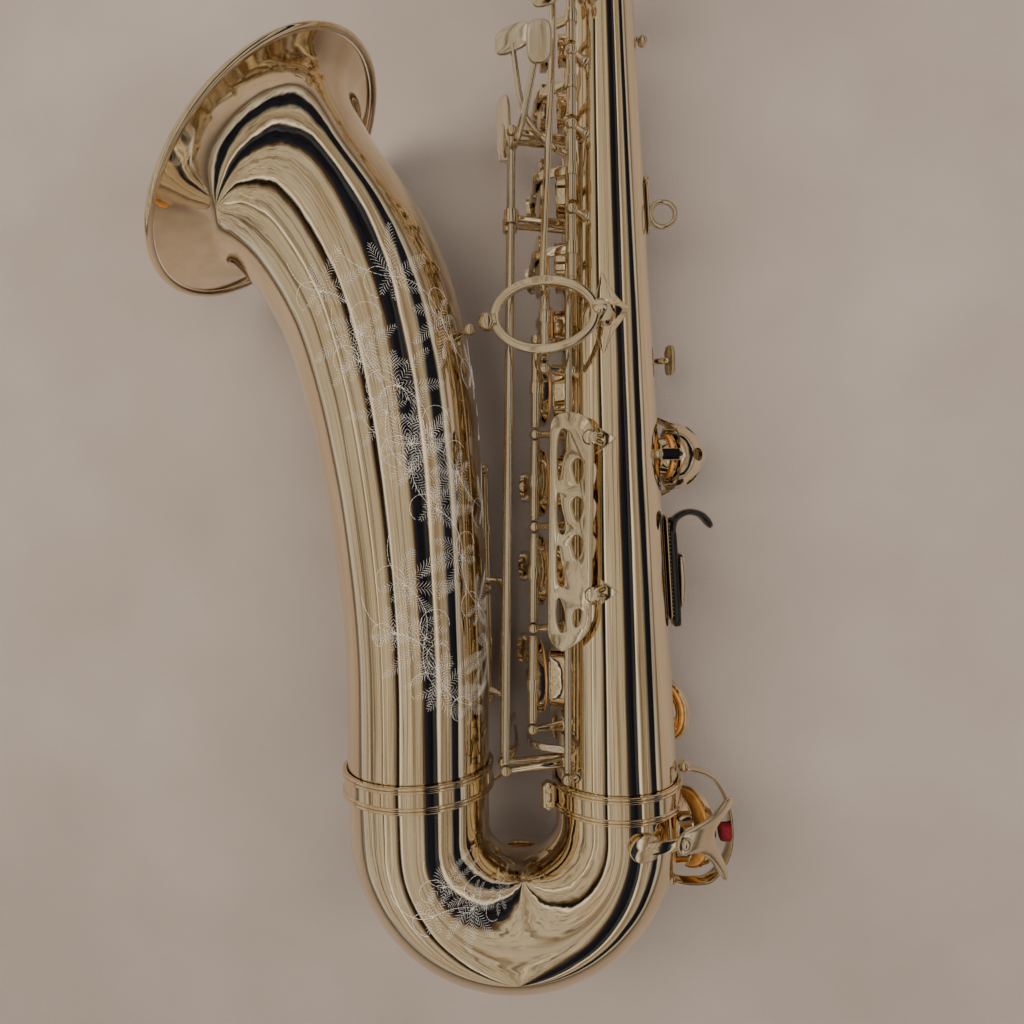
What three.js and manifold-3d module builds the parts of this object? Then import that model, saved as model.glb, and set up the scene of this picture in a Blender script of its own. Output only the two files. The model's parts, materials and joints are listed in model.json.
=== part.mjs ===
// A tenor saxophone lying on its right side: bell, bow, body tube, neck, mouthpiece and keywork.
// Horn frame, in millimetres: the origin is on the body axis at the body-to-bow joint, +Y runs up the
// body to the neck, -X is the front (the bell side), +X the player's side, +Z the player's left.
// Angles around the body start at the front (-X) and grow towards the left side (+Z).
import * as THREE from "three";
import { mergeVertices } from "three/addons/utils/BufferGeometryUtils.js";
import Module from "manifold-3d";

const wasm = await Module();
wasm.setup();

// ---------- Driving dimensions ----------
const BODY_SIDES = 24;
const TUBE_SIDES = 24;
const WALL = 1.2;
const GAP = 0.4;
const BODY_LENGTH = 512;
const BODY_RADIUS = 30.6;
const BODY_TAPER = 0.0339;
const BOW_RADIUS = 50.5;
const BOW_LEG = 21;
const BELL_X = -2 * BOW_RADIUS;
const RIM_RADIUS = 77.5;
const RIM_BEAD = 1.9;
const RIM_CENTRE = new THREE.Vector3(-170, 313, 0);
const BELL_TILT = 47.2;
const CHIMNEY = 4;
const PAD_THICK = 3;
const CUP_THICK = 3;
const TUBE_RADIUS = 2.3;
const POST_BALL = 3.1;
const CUP_LIP = 3;
const RECEIVER_RADIUS = 17.5;
const RECEIVER_LENGTH = 30;
// The horn rests on the bell rim, the low E-flat guard and the side-key guard.
const ROLL = 7.5;
const PITCH = -0.8;
const HORN_ORIGIN = new THREE.Vector3(-3.28, -276.3, 59.27);

// ---------- Colours ----------
const CHAMPAGNE = { color: 0xd9c39c, metalness: 0.95, roughness: 0.16 };
const NICKEL = { color: 0xcfc8bb, metalness: 0.95, roughness: 0.2 };
const LEATHER = { color: 0xb5651d, metalness: 0, roughness: 0.6 };
const EBONITE = { color: 0x0b0b0c, metalness: 0, roughness: 0.18 };
const FELT = { color: 0x6e0f14, metalness: 0, roughness: 0.95 };
const CORK = { color: 0xc79b6b, metalness: 0, roughness: 0.85 };
const CANE = { color: 0xe3c98b, metalness: 0, roughness: 0.6 };

// ---------- Small helpers ----------
const V = (x, y, z) => new THREE.Vector3(x, y, z);
const rad = THREE.MathUtils.degToRad;
const UP = V(0, 1, 0);
const horn = new THREE.Group();

// A closed three.js geometry as a solid that can be joined and cut.
function solid(geometry) {
  const loose = geometry.index ? geometry.toNonIndexed() : geometry.clone();
  loose.deleteAttribute("normal");
  loose.deleteAttribute("uv");
  const merged = mergeVertices(loose, 1e-3);
  const corners = [];
  for (let i = 0; i < merged.index.count; i += 3) {
    const [a, b, c] = merged.index.array.slice(i, i + 3);
    if (a !== b && b !== c && c !== a) corners.push(a, b, c);
  }
  const make = () =>
    new wasm.Manifold(
      new wasm.Mesh({
        numProp: 3,
        vertProperties: merged.attributes.position.array,
        triVerts: new Uint32Array(corners),
      }),
    );
  const made = make();
  if (made.volume() > 0) return made;
  for (let i = 0; i < corners.length; i += 3) {
    [corners[i + 1], corners[i + 2]] = [corners[i + 2], corners[i + 1]];
  }
  return make();
}

const join = (...bodies) => bodies.flat().reduce((a, b) => a.add(b));
const cut = (body, ...tools) => tools.flat().reduce((a, b) => a.subtract(b), body);

function geometryOf(body) {
  const made = body.getMesh();
  const position = new Float32Array(made.numVert * 3);
  for (let i = 0; i < made.numVert; i++) {
    const from = i * made.numProp;
    position.set(made.vertProperties.subarray(from, from + 3), i * 3);
  }
  const geometry = new THREE.BufferGeometry();
  geometry.setAttribute("position", new THREE.BufferAttribute(position, 3));
  geometry.setIndex(new THREE.BufferAttribute(new Uint32Array(made.triVerts), 1));
  return geometry;
}

function addMesh(name, body, look, parent = horn) {
  const geometry = geometryOf(body);
  if (parent.userData.closed) geometry.applyMatrix4(parent.userData.closed);
  geometry.computeVertexNormals();
  const mesh = new THREE.Mesh(geometry, new THREE.MeshStandardMaterial(look));
  mesh.name = name;
  parent.add(mesh);
}

// Puts a geometry built along +Y at a point, with +Y turned to a direction.
function placed(geometry, at, direction) {
  const turn = new THREE.Quaternion().setFromUnitVectors(UP, direction.clone().normalize());
  const matrix = new THREE.Matrix4().compose(at, turn, V(1, 1, 1));
  return solid(geometry.applyMatrix4(matrix));
}

// A round rod from a to b, and a disc standing on a point along a direction.
function rod(a, b, radius, endRadius = radius, sides = 8) {
  const length = a.distanceTo(b);
  const geometry = new THREE.CylinderGeometry(endRadius, radius, length, sides);
  return placed(geometry.translate(0, length / 2, 0), a, b.clone().sub(a));
}

function disc(at, direction, radius, thick, sides = 20) {
  const end = at.clone().addScaledVector(direction, thick);
  return rod(at, end, radius, radius, sides);
}

const ball = (at, radius) => {
  const geometry = new THREE.SphereGeometry(radius, 5, 3);
  return solid(geometry.translate(at.x, at.y, at.z));
};

// A flat bar from a to b; "face" is the direction its broad face looks to.
function bar(a, b, width, thick, face) {
  const along = b.clone().sub(a);
  const length = along.length();
  const y = along.normalize();
  const x = new THREE.Vector3().crossVectors(y, face).normalize();
  const z = new THREE.Vector3().crossVectors(x, y);
  const matrix = new THREE.Matrix4().makeBasis(x, y, z);
  matrix.setPosition(a.clone().add(b).multiplyScalar(0.5));
  return solid(new THREE.BoxGeometry(width, length, thick).applyMatrix4(matrix));
}

// Several bars one after the other, with a small ball at each bend; their width runs along "wide".
function strap(points, width, thick, wide) {
  const pieces = [];
  for (let i = 1; i < points.length; i++) {
    const along = points[i].clone().sub(points[i - 1]);
    pieces.push(bar(points[i - 1], points[i], width, thick, wide.clone().cross(along)));
  }
  for (const point of points.slice(1, -1)) {
    pieces.push(ball(point, 0.62 * thick));
  }
  return join(pieces);
}

// A flat outline lying in a plane: "right" and "up" are its axes, "at" its origin.
function plate(shape, thick, at, right, up) {
  const geometry = new THREE.ExtrudeGeometry(shape, {
    depth: thick,
    bevelEnabled: false,
    curveSegments: 6,
  });
  const x = right.clone().normalize();
  const z = new THREE.Vector3().crossVectors(x, up).normalize();
  const y = new THREE.Vector3().crossVectors(z, x);
  return solid(geometry.applyMatrix4(new THREE.Matrix4().makeBasis(x, y, z).setPosition(at)));
}

// A round bar whose centre line lies in the XY plane: rings at the given stations, 0 to 1 along it.
function sweep(curve, radiusAt, stations, sides) {
  const position = [];
  const faces = [];
  const ring = (u) => {
    const centre = curve.getPointAt(u);
    const along = curve.getTangentAt(u);
    const across = V(-along.y, along.x, 0).normalize();
    const r = radiusAt(u);
    const first = position.length / 3;
    for (let i = 0; i < sides; i++) {
      const turn = (2 * Math.PI * i) / sides;
      const point = centre.clone().addScaledVector(across, r * Math.cos(turn));
      position.push(point.x, point.y, r * Math.sin(turn));
    }
    return first;
  };
  const skin = (a, b) => {
    for (let i = 0; i < sides; i++) {
      const next = (i + 1) % sides;
      faces.push(a + i, b + i, b + next, a + i, b + next, a + next);
    }
  };
  const rings = stations.map(ring);
  for (let i = 1; i < rings.length; i++) skin(rings[i - 1], rings[i]);
  for (const [first, u, flip] of [[rings[0], stations[0], true], [rings.at(-1), stations.at(-1), false]]) {
    const centre = position.length / 3;
    position.push(...curve.getPointAt(u).toArray());
    for (let i = 0; i < sides; i++) {
      const next = (i + 1) % sides;
      faces.push(centre, first + (flip ? i : next), first + (flip ? next : i));
    }
  }
  const geometry = new THREE.BufferGeometry();
  geometry.setAttribute("position", new THREE.Float32BufferAttribute(position, 3));
  geometry.setIndex(faces);
  return solid(geometry);
}

const evenly = (count) => Array.from({ length: count + 1 }, (_, i) => i / count);

// A closed profile of [radius, height] points turned around a line.
function turned(profile, sides, at = V(0, 0, 0), direction = UP) {
  const points = [...profile, profile[0]].map(([r, y]) => new THREE.Vector2(r, y));
  return placed(new THREE.LatheGeometry(points, sides), at, direction);
}

// ---------- Places on the body ----------
const bodyRadius = (y) => BODY_RADIUS - BODY_TAPER * y;
const outward = (angle) => V(-Math.cos(rad(angle)), 0, Math.sin(rad(angle)));
const onBody = (y, angle, height = 0) =>
  outward(angle).multiplyScalar(bodyRadius(y) + height).add(V(0, y, 0));

// A soldered post: a tapered stem with a ball that carries a hinge rod.
function post(foot, tip) {
  return join(rod(foot, tip, 3, 1.9, 4), ball(tip, POST_BALL));
}
const bodyPost = (y, angle, height) => post(onBody(y, angle, -0.8), onBody(y, angle, height));

// ---------- Tone holes: where each stands, the way it faces and its outside radius ----------
const bodyHole = (y, angle, radius) => {
  const facing = outward(angle);
  return { at: onBody(y, angle, 0), facing, radius };
};
const holes = {
  d: bodyHole(52, -5, 17),
  e: bodyHole(107, -5, 16),
  f: bodyHole(152, -5, 15),
  fs: bodyHole(198, -5, 14.5),
  gs: bodyHole(231, -5, 9),
  g: bodyHole(262, -5, 12.5),
  a: bodyHole(300, -5, 13.5),
  b: bodyHole(342, -5, 9.5),
  c: bodyHole(374, -5, 7.5),
  eb: bodyHole(28, -140, 15),
  altFs: bodyHole(164, -172, 10),
  sideBb: bodyHole(333, -92, 9),
  sideC: bodyHole(366, -92, 8),
  sideE: bodyHole(418, -92, 7),
  palmD: bodyHole(404, 105, 7.5),
  palmEb: bodyHole(433, 100, 7),
  palmF: bodyHole(461, 95, 6.5),
  lowC: { at: V(29.2, -30.8, -8), facing: V(0.959, -0.118, -0.259).normalize(), radius: 17.5 },
  lowCs: { at: V(BOW_RADIUS * -1, -72, -33.4), facing: V(0, 0, -1), radius: 19 },
  lowB: { at: V(-100.3, 62, -36.6), facing: V(0, 0, -1), radius: 23 },
  lowBb: { at: V(-102.8, 128, -37.6), facing: V(0, 0, -1), radius: 24 },
};
const BODY_HOLES = ["d", "e", "f", "fs", "gs", "g", "a", "b", "c", "eb", "altFs", "sideBb",
  "sideC", "sideE", "palmD", "palmEb", "palmF"];

const HOLE_DEPTH = 10;
const holeSides = (radius) => (radius > 12 ? 10 : 6);
const chimneyOf = ({ at, facing, radius }) =>
  disc(at.clone().addScaledVector(facing, -HOLE_DEPTH), facing, radius, HOLE_DEPTH + CHIMNEY, holeSides(radius));
const boreOf = ({ at, facing, radius }) =>
  disc(at.clone().addScaledVector(facing, -HOLE_DEPTH - 2), facing, radius - WALL, 40, holeSides(radius));

// ---------- Hinge lines: angle round the body and height over it ----------
const RH_LINE = { angle: 20, height: 16 };
const LH_LINE = { angle: 54, height: 11 };
const B_LINE = { angle: 21, height: 30 };
const BB_LINE = { angle: 9, height: 28 };
const CS_LINE = { angle: 42, height: 5.5 };
const GS_LINE = { angle: 33, height: 16 };
const C_LINE = { angle: -112, height: 14 };
const EB_LINE = { angle: -97, height: 13 };
const ALT_LINE = { angle: -125, height: 10 };
const PALM_LINE = { angle: 70, height: 9 };
const SIDE_BB_LINE = { angle: -124, height: 7 };
const SIDE_C_LINE = { angle: -50, height: 7 };
const SIDE_E_LINE = { angle: -140, height: 7 };
const onLine = (line, y) => onBody(y, line.angle, line.height);

const rhPosts = [30, 79.5, 129.5, 175, 222];
const lhPosts = [243, 281, 322, 358, 390];
const outerPosts = [12, 280.5, 323];
const GS_POSTS = [206, 248];
const palmPosts = [388, 418, 446.5, 474];
const POST_ROWS = [
  [RH_LINE, rhPosts],
  [LH_LINE, lhPosts],
  [B_LINE, outerPosts],
  [BB_LINE, outerPosts],
  [CS_LINE, [8, 323]],
  [GS_LINE, GS_POSTS],
  [C_LINE, [6]],
  [EB_LINE, [6, 58]],
  [ALT_LINE, [146, 182]],
  [PALM_LINE, palmPosts],
  [SIDE_BB_LINE, [192, 346]],
  [SIDE_C_LINE, [186, 380]],
  [SIDE_E_LINE, [204, 431]],
];

// The thumb's octave lever rocks on a cross pin behind the body.
const OCTAVE_PIVOT = V(bodyRadius(462) + 7.5, 462, 0);

// ---------- Body tube, bow and bell ----------
function bodyTube() {
  const end = V(0, BODY_LENGTH, 0);
  const top = bodyRadius(BODY_LENGTH);
  const skin = rod(V(0, 0.3, 0), end, BODY_RADIUS, top, BODY_SIDES);
  const bore = rod(V(0, -3, 0), V(0, BODY_LENGTH + 3, 0), BODY_RADIUS - WALL, top - WALL, BODY_SIDES);
  const pieces = [skin];
  for (const name of BODY_HOLES) pieces.push(chimneyOf(holes[name]));
  for (const [line, rows] of POST_ROWS) {
    for (const y of rows) pieces.push(bodyPost(y, line.angle, line.height));
  }
  pieces.push(post(onBody(377, 180, -0.8), onBody(377, 180, 4)));
  for (const side of [-8, 8]) {
    pieces.push(post(onBody(OCTAVE_PIVOT.y, 180, -4).add(V(0, 0, side)), OCTAVE_PIVOT.clone().add(V(0, 0, side))));
  }
  pieces.push(disc(onBody(231.6, 90, -1).add(V(-5, 0, 0)), V(0, 0, 1), 6, 4.4, 12));
  const eyeOf = (line, half, radius, sides) =>
    rod(onLine(line, outerPosts[1] - half), onLine(line, outerPosts[1] + half), radius, radius, sides);
  const passing = [B_LINE, BB_LINE];
  pieces.push(...passing.map((line) => eyeOf(line, POST_BALL, 3.6, 8)));
  const eyes = passing.map((line) => eyeOf(line, 6, 2.2, 6));
  return cut(join(pieces), bore, eyes, BODY_HOLES.map((name) => boreOf(holes[name])));
}

const LOW_CS_HINGE = [V(-80, -76, -46), V(-80, -14, -46)];

function bowLine() {
  const path = new THREE.CurvePath();
  const bend = new THREE.CatmullRomCurve3(
    evenly(12).map((u) => {
      const turn = -Math.PI * u;
      return V(BOW_RADIUS * (Math.cos(turn) - 1), BOW_RADIUS * Math.sin(turn) - BOW_LEG, 0);
    }),
  );
  path.add(new THREE.LineCurve3(V(0, -0.3, 0), V(0, -BOW_LEG, 0)));
  path.add(bend);
  path.add(new THREE.LineCurve3(V(BELL_X, -BOW_LEG, 0), V(BELL_X, -0.3, 0)));
  return path;
}

function bow() {
  const straight = 0.1;
  const stations = [0, straight];
  for (let i = 1; i < 8; i++) stations.push(straight + (i * (1 - 2 * straight)) / 8);
  stations.push(1 - straight, 1);
  const radius = (u) => 30.4 + 5.4 * u;
  const shell = sweep(bowLine(), radius, stations, TUBE_SIDES);
  const bore = sweep(bowLine(), (u) => radius(u) - WALL, stations, TUBE_SIDES);
  const names = ["lowC", "lowCs"];
  const pieces = names.map((name) => chimneyOf(holes[name]));
  pieces.push(post(V(7.5, -47, -26), onLine(C_LINE, -48)));
  pieces.push(post(V(-78, -70, -31), LOW_CS_HINGE[0]));
  pieces.push(post(V(-84, -13, -27), LOW_CS_HINGE[1]));
  const mouths = [
    rod(V(0, -2, 0), V(0, 3, 0), radius(0) - WALL, radius(0) - WALL, TUBE_SIDES),
    rod(V(BELL_X, -2, 0), V(BELL_X, 3, 0), radius(1) - WALL, radius(1) - WALL, TUBE_SIDES),
  ];
  return cut(join(shell, pieces), bore, mouths, names.map((name) => boreOf(holes[name])));
}

// The bell's centre line and its radius: a slow cone that bursts into the flare.
const RIM_AXIS = V(-Math.sin(rad(BELL_TILT)), Math.cos(rad(BELL_TILT)), 0);
const bellLine = new THREE.CatmullRomCurve3([
  V(BELL_X, 0.3, 0),
  V(-100.3, 60, 0),
  V(-102.4, 115, 0),
  V(-105.8, 160, 0),
  V(-112, 205, 0),
  V(-122.5, 246, 0),
  V(-139, 278, 0),
  RIM_CENTRE.clone().addScaledVector(RIM_AXIS, -17),
  RIM_CENTRE.clone(),
]);

const FLARE_RISE = RIM_RADIUS - 2 * RIM_BEAD - GAP - 46;
const FLARE_LENGTH = 8.5;
function bellRadius(u) {
  const length = bellLine.getLength();
  const slow = 35.8 + 10.2 * THREE.MathUtils.smoothstep(u * length, 55, 290);
  const fromRim = (1 - u) * length;
  return slow + FLARE_RISE * Math.exp(-fromRim / FLARE_LENGTH);
}
function bellBore(u) {
  const fromRim = (1 - u) * bellLine.getLength();
  const slope = (FLARE_RISE / FLARE_LENGTH) * Math.exp(-fromRim / FLARE_LENGTH);
  return bellRadius(u) - WALL * Math.hypot(1, slope);
}

const bellHinge = (y) => V(-66, y, -46);
const BELL_POSTS = [30, 93.5, 162];

function bell() {
  const stations = [0, 0.18, 0.34, 0.46, 0.57, 0.66, 0.74, 0.81, 0.87, 0.91, 0.94, 0.96, 0.975, 0.988, 1];
  const shell = sweep(bellLine, bellRadius, stations, BODY_SIDES);
  const bore = sweep(bellLine, bellBore, stations, BODY_SIDES);
  const mouth = RIM_CENTRE.clone().addScaledVector(RIM_AXIS, -0.1);
  const ends = [
    rod(V(BELL_X, -3, 0), V(BELL_X, 4, 0), bellBore(0), bellBore(0), BODY_SIDES),
    disc(mouth, RIM_AXIS, bellBore(1) - 0.4, 6, BODY_SIDES),
  ];
  const names = ["lowB", "lowBb"];
  const pieces = names.map((name) => chimneyOf(holes[name]));
  for (const y of BELL_POSTS) pieces.push(post(V(-81, y, -27), bellHinge(y)));
  pieces.push(post(V(-78, 222, 18), V(-68.5, 223.5, 29.5)));
  return cut(join(shell, pieces), bore, ends, names.map((name) => boreOf(holes[name])));
}

// A ferrule: a sleeve with a bead at each edge.
function ferrule(x, y, inside, height) {
  const outside = inside + 1.3;
  const bead = 1;
  const profile = [[inside, 0], [inside, height], [outside, height], [outside + bead, height - 1.2],
    [outside, height - 2.4], [outside, 2.4], [outside + bead, 1.2], [outside, 0]];
  return turned(profile, BODY_SIDES, V(x, y, 0));
}

const FERRULE_HEIGHT = 14;
function bodyFerrule() {
  const lug = bar(V(-35.2, -12.5, 8), V(-35.2, 1.5, 8), 7, 4, V(0, 0, 1));
  return join(ferrule(0, -FERRULE_HEIGHT + 2, BODY_RADIUS + GAP, FERRULE_HEIGHT), lug);
}

addMesh("body_tube", bodyTube(), CHAMPAGNE);
addMesh("bow", bow(), CHAMPAGNE);
addMesh("bell", bell(), CHAMPAGNE);
addMesh("body_ferrule", bodyFerrule(), CHAMPAGNE);
addMesh("bell_ferrule", ferrule(BELL_X, -2, 36.3, 13), CHAMPAGNE);

const rimRing = new THREE.TorusGeometry(RIM_RADIUS - RIM_BEAD, RIM_BEAD, 5, 40).rotateX(Math.PI / 2);
addMesh("bell_rim", placed(rimRing, RIM_CENTRE, RIM_AXIS), CHAMPAGNE);

// ---------- The floor that the horn lies on, seen from the horn ----------
horn.rotation.set(rad(PITCH), rad(ROLL), 0);
horn.position.copy(HORN_ORIGIN);
horn.updateMatrixWorld(true);
const toHorn = horn.matrixWorld.clone().invert();
const floorPoint = (x, y) => {
  const normal = V(0, 0, 1).transformDirection(toHorn);
  const z = -(normal.x * x + normal.y * y + HORN_ORIGIN.z) / normal.z;
  return V(x, y, z);
};
function trimmedToFloor(body) {
  const under = new THREE.BoxGeometry(1000, 1400, 100).translate(0, 0, -50);
  return cut(body, solid(under.applyMatrix4(toHorn)));
}

// ---------- Braces, guards and fixed fittings ----------
const LEFT = V(0, 0, 1);
const RIGHT = V(0, 0, -1);
const REAR = V(1, 0, 0);

function ellipseShape(halfWidth, halfHeight) {
  return new THREE.Shape().absellipse(0, 0, halfWidth, halfHeight, 0, 2 * Math.PI, false, 0);
}

function braceRing() {
  const outline = new THREE.Shape();
  outline.absellipse(0, 0, 25.7, 18.2, 0, 2 * Math.PI, false, 0);
  const hole = new THREE.Path();
  hole.absellipse(0, 0, 21.3, 13.8, 0, 2 * Math.PI, true, 0);
  outline.holes.push(hole);
  const geometry = new THREE.ExtrudeGeometry(outline, { depth: 3, bevelEnabled: false, curveSegments: 8 });
  geometry.rotateZ(rad(4)).translate(-33, 229, 31);
  const bodyScrew = rod(V(-7.6, 232, 26.8), V(-7.6, 232, 36.5), 3.7, 3.7, 10);
  const bellScrew = rod(V(-56.6, 226.9, 32.6), V(-63.6, 225.6, 31.4), 3.4, 4.6, 10);
  return join(solid(geometry), bodyScrew, bellScrew);
}
addMesh("brace_ring", braceRing(), CHAMPAGNE);

// The clothes guard: a pierced leaf-ended plate on two feet, at the body's front left.
function clothesGuard() {
  const outline = new THREE.Shape();
  outline.moveTo(-10, 50);
  outline.lineTo(-10, -44);
  outline.quadraticCurveTo(-11, -54, -3, -57);
  outline.quadraticCurveTo(10, -50, 10, -40);
  outline.lineTo(10, 46);
  outline.quadraticCurveTo(9, 56, -2, 57);
  outline.quadraticCurveTo(-10, 57, -10, 50);
  const cutouts = [36, 14, -8, -30];
  for (const y of cutouts) {
    const hole = new THREE.Path();
    hole.moveTo(-5, y - 8);
    hole.quadraticCurveTo(-7, y, -1, y + 8);
    hole.quadraticCurveTo(3, y + 2, 1.5, y - 2);
    hole.quadraticCurveTo(-1, y - 7, -5, y - 8);
    outline.holes.push(hole);
  }
  const facing = outward(58);
  const right = V(facing.z, 0, -facing.x);
  const lean = V(BODY_TAPER, 1, 0).normalize();
  const sheet = plate(outline, 1.8, V(-22.5, 127, 27.6), right, lean);
  const feet = [98, 171].map((y) => {
    const foot = onBody(y, 71, GAP + 0.4);
    return rod(foot, foot.clone().addScaledVector(outward(64), 10), 4, 2.4, 8);
  });
  return join(sheet, feet);
}
addMesh("clothes_guard", clothesGuard(), CHAMPAGNE);

function strapRing() {
  const foot = onBody(292, 180, 2 * GAP + 0.2);
  const mount = bar(foot.clone().add(V(1, -14, 0)), foot.clone().add(V(1, 14, 0)), 9, 2, REAR);
  const loop = new THREE.TorusGeometry(6.4, 1.35, 6, 16);
  loop.translate(foot.x + 8.6, 288, 0);
  return join(mount, solid(loop));
}
addMesh("strap_ring", strapRing(), CHAMPAGNE);

// The thumb hook slides on a toothed plate and is locked by an oval screw.
const HOOK_Y = 104;
const hookBase = onBody(HOOK_Y, 180, 0).x;
const hookRail = (y, height) => V(bodyRadius(y) + height, y, 0);
function hookPlate() {
  return bar(hookRail(80, 1.3), hookRail(134, 1.3), 15, 1.8, REAR);
}
addMesh("thumb_hook_plate", hookPlate(), CHAMPAGNE);

function slideGroup(at, direction) {
  const group = new THREE.Group();
  group.position.copy(at);
  group.quaternion.setFromUnitVectors(UP, direction.clone().normalize());
  group.updateMatrix();
  group.userData.closed = group.matrix.clone().invert();
  horn.add(group);
  return group;
}

function thumbHook() {
  const stem = bar(hookRail(77, 4.4), hookRail(126, 4.4), 12, 3.4, REAR);
  const tip = new THREE.CatmullRomCurve3([
    hookRail(122, 4.4),
    V(hookBase + 5.4, 131, 0),
    V(hookBase + 12, 135, 0),
    V(hookBase + 19, 133.5, 0),
    V(hookBase + 24.5, 127, 0),
  ]);
  const section = ellipseShape(6, 1.7);
  const options = { steps: 8, bevelEnabled: false, extrudePath: tip, curveSegments: 3 };
  const hook = solid(new THREE.ExtrudeGeometry(section, options));
  const slot = disc(V(hookBase - 4, 94, 0), REAR, 3, 30, 10);
  const slotEnd = disc(V(hookBase - 4, 106, 0), REAR, 3, 30, 10);
  const slotMiddle = bar(V(hookBase + 6, 94, 0), V(hookBase + 6, 106, 0), 6, 30, REAR);
  return cut(join(stem, hook), slot, slotEnd, slotMiddle);
}
const hookSlide = slideGroup(hookRail(100, 4.4), V(-BODY_TAPER, 1, 0));
addMesh("thumb_hook", thumbHook(), EBONITE, hookSlide);

const hookScrew = slideGroup(hookRail(100, 4), REAR);
const hookScrewBody = join(
  disc(hookRail(100, 2.8), REAR, 2.3, 5, 8),
  plate(ellipseShape(8, 14.5), 2.6, hookRail(100, 6.7), RIGHT, UP),
);
addMesh("thumb_hook_screw", hookScrewBody, CHAMPAGNE, hookScrew);

addMesh("thumb_rest", disc(onBody(410, 174, GAP + 0.3), outward(174), 9, 3.6, 16), EBONITE);

// The low C guard: a band round the open pad, an oval foot on the bow's left side and a felt stop.
const GUARD_Z = 5;
function lowCGuard() {
  const band = strap(
    [V(33.6, 6, GUARD_Z), V(45, 4, GUARD_Z), V(55, -4, GUARD_Z), V(59, -17, GUARD_Z), V(59, -36, GUARD_Z),
      V(54, -48, GUARD_Z), V(44, -54, GUARD_Z), V(26.2, -53, GUARD_Z)],
    5, 2, LEFT,
  );
  const footAt = V(10.5, -25.5, 29.6);
  const facing = V(0.34, 0, 0.94).normalize();
  const foot = plate(ellipseShape(8.5, 6.5), 1.6, footAt, V(0.94, 0, -0.34), UP);
  const hub = V(30, -25, 27.5);
  const arm = bar(footAt.clone().addScaledVector(facing, 0.8), hub, 5, 1.8, facing);
  const screw = ball(hub, 3.6);
  const webs = [-14, -38].map((y) => bar(hub, V(58.6, y, GUARD_Z + 1), 4, 1.8, V(1, 0, 1)));
  return join(band, foot, arm, screw, webs);
}
addMesh("low_c_guard", lowCGuard(), CHAMPAGNE);
addMesh("low_c_felt", disc(V(57.4, -26, GUARD_Z), V(-1, 0, 0), 4.6, 3.4, 12), FELT);

// Bell-key guards: arches over the low B and B-flat cups.
function bellGuard(hole, reach, lowFoot, highFoot) {
  const { x, y } = hole.at;
  const top = -66;
  const arch = [V(x, y - reach, -lowFoot), V(x, y - reach, -59), V(x, y - reach + 8, top),
    V(x, y + reach - 8, top), V(x, y + reach, -59), V(x, y + reach, -highFoot)];
  const boss = disc(V(x, y, top - 1), V(0, 0, 1), 11, 2, 16);
  return join(strap(arch, 8, 2, REAR), boss);
}
addMesh("low_b_guard", bellGuard(holes.lowB, 29.6, 38.2, 39), CHAMPAGNE);
addMesh("low_bb_guard", bellGuard(holes.lowBb, 31.5, 38.8, 41.6), CHAMPAGNE);

// The low E-flat guard and the side-key guard are the horn's feet on the floor.
function floorGuard(y, x, spread, legs) {
  const top = floorPoint(x, y).add(V(0, 0, -0.6));
  const across = V(0, 1, 0);
  const pieces = [bar(top.clone().addScaledVector(across, -spread), top.clone().addScaledVector(across, spread), 9, 4, LEFT)];
  for (const leg of legs) {
    const shoulder = top.clone().addScaledVector(across, leg.side * (spread - 1)).add(V(0, 0, 1));
    pieces.push(bar(leg.foot, shoulder, 6, 2.4, V(1, 0, 0)));
  }
  return trimmedToFloor(join(pieces));
}
const ebLegs = [
  { side: -1, foot: V(-8, -42, -33) },
  { side: 1, foot: V(-8, -16, -32) },
];
addMesh("low_eb_guard", floorGuard(-26, -10, 15, ebLegs), CHAMPAGNE);
const sideLegs = [
  { side: -1, foot: V(-1, 228, -24.6) },
  { side: 1, foot: V(-1, 292, -22.6) },
];
addMesh("side_key_guard", floorGuard(260, -1, 26, sideLegs), CHAMPAGNE);

// The alternate F-sharp guard: a pierced dome on three feet.
const DOME_RADIUS = 17.6;
const DOME_LIFT = 7;
const DOME_TOP = 17;
const DOME_WALL = 1.6;
const DOME_FEET = [180, 80, -80];
function altGuard() {
  const { at, facing } = holes.altFs;
  const side = UP.clone().cross(facing).normalize();
  const quarter = [0, 22, 44, 66];
  const arc = (radius, top) => quarter.map((turn) => [radius * Math.cos(rad(turn)), top * Math.sin(rad(turn))]);
  const outer = [...arc(DOME_RADIUS, DOME_TOP), [0, DOME_TOP]];
  const inner = [[0, DOME_TOP - DOME_WALL], ...arc(DOME_RADIUS - DOME_WALL, DOME_TOP - DOME_WALL).toReversed()];
  const shell = turned([...outer, ...inner].map(([r, h]) => [r, h + DOME_LIFT]), 15, at.clone(), facing);
  const crownHole = disc(at, facing, 4.4, 40, 8);
  const outAt = (turn) =>
    side.clone().multiplyScalar(Math.cos(rad(turn))).addScaledVector(UP, Math.sin(rad(turn)));
  const above = (height) => at.clone().addScaledVector(facing, height);
  const windows = [131, -131].map((turn) => disc(above(13), outAt(turn), 5.4, 30, 8));
  windows.push(disc(above(7), outAt(0), 9, 30, 8));
  const feet = DOME_FEET.map((turn) => {
    const out = outAt(turn);
    const foot = at.clone().addScaledVector(out, DOME_RADIUS + 3);
    const onSkin = V(foot.x, 0, foot.z).normalize().multiplyScalar(bodyRadius(foot.y) + 0.8);
    const knee = at.clone().addScaledVector(facing, DOME_LIFT + 1.5).addScaledVector(out, DOME_RADIUS - 0.8);
    return bar(knee, V(onSkin.x, foot.y, onSkin.z), 6, 1.6, out);
  });
  return join(cut(shell, crownHole, windows), feet);
}
addMesh("alt_fs_guard", altGuard(), CHAMPAGNE);

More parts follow.
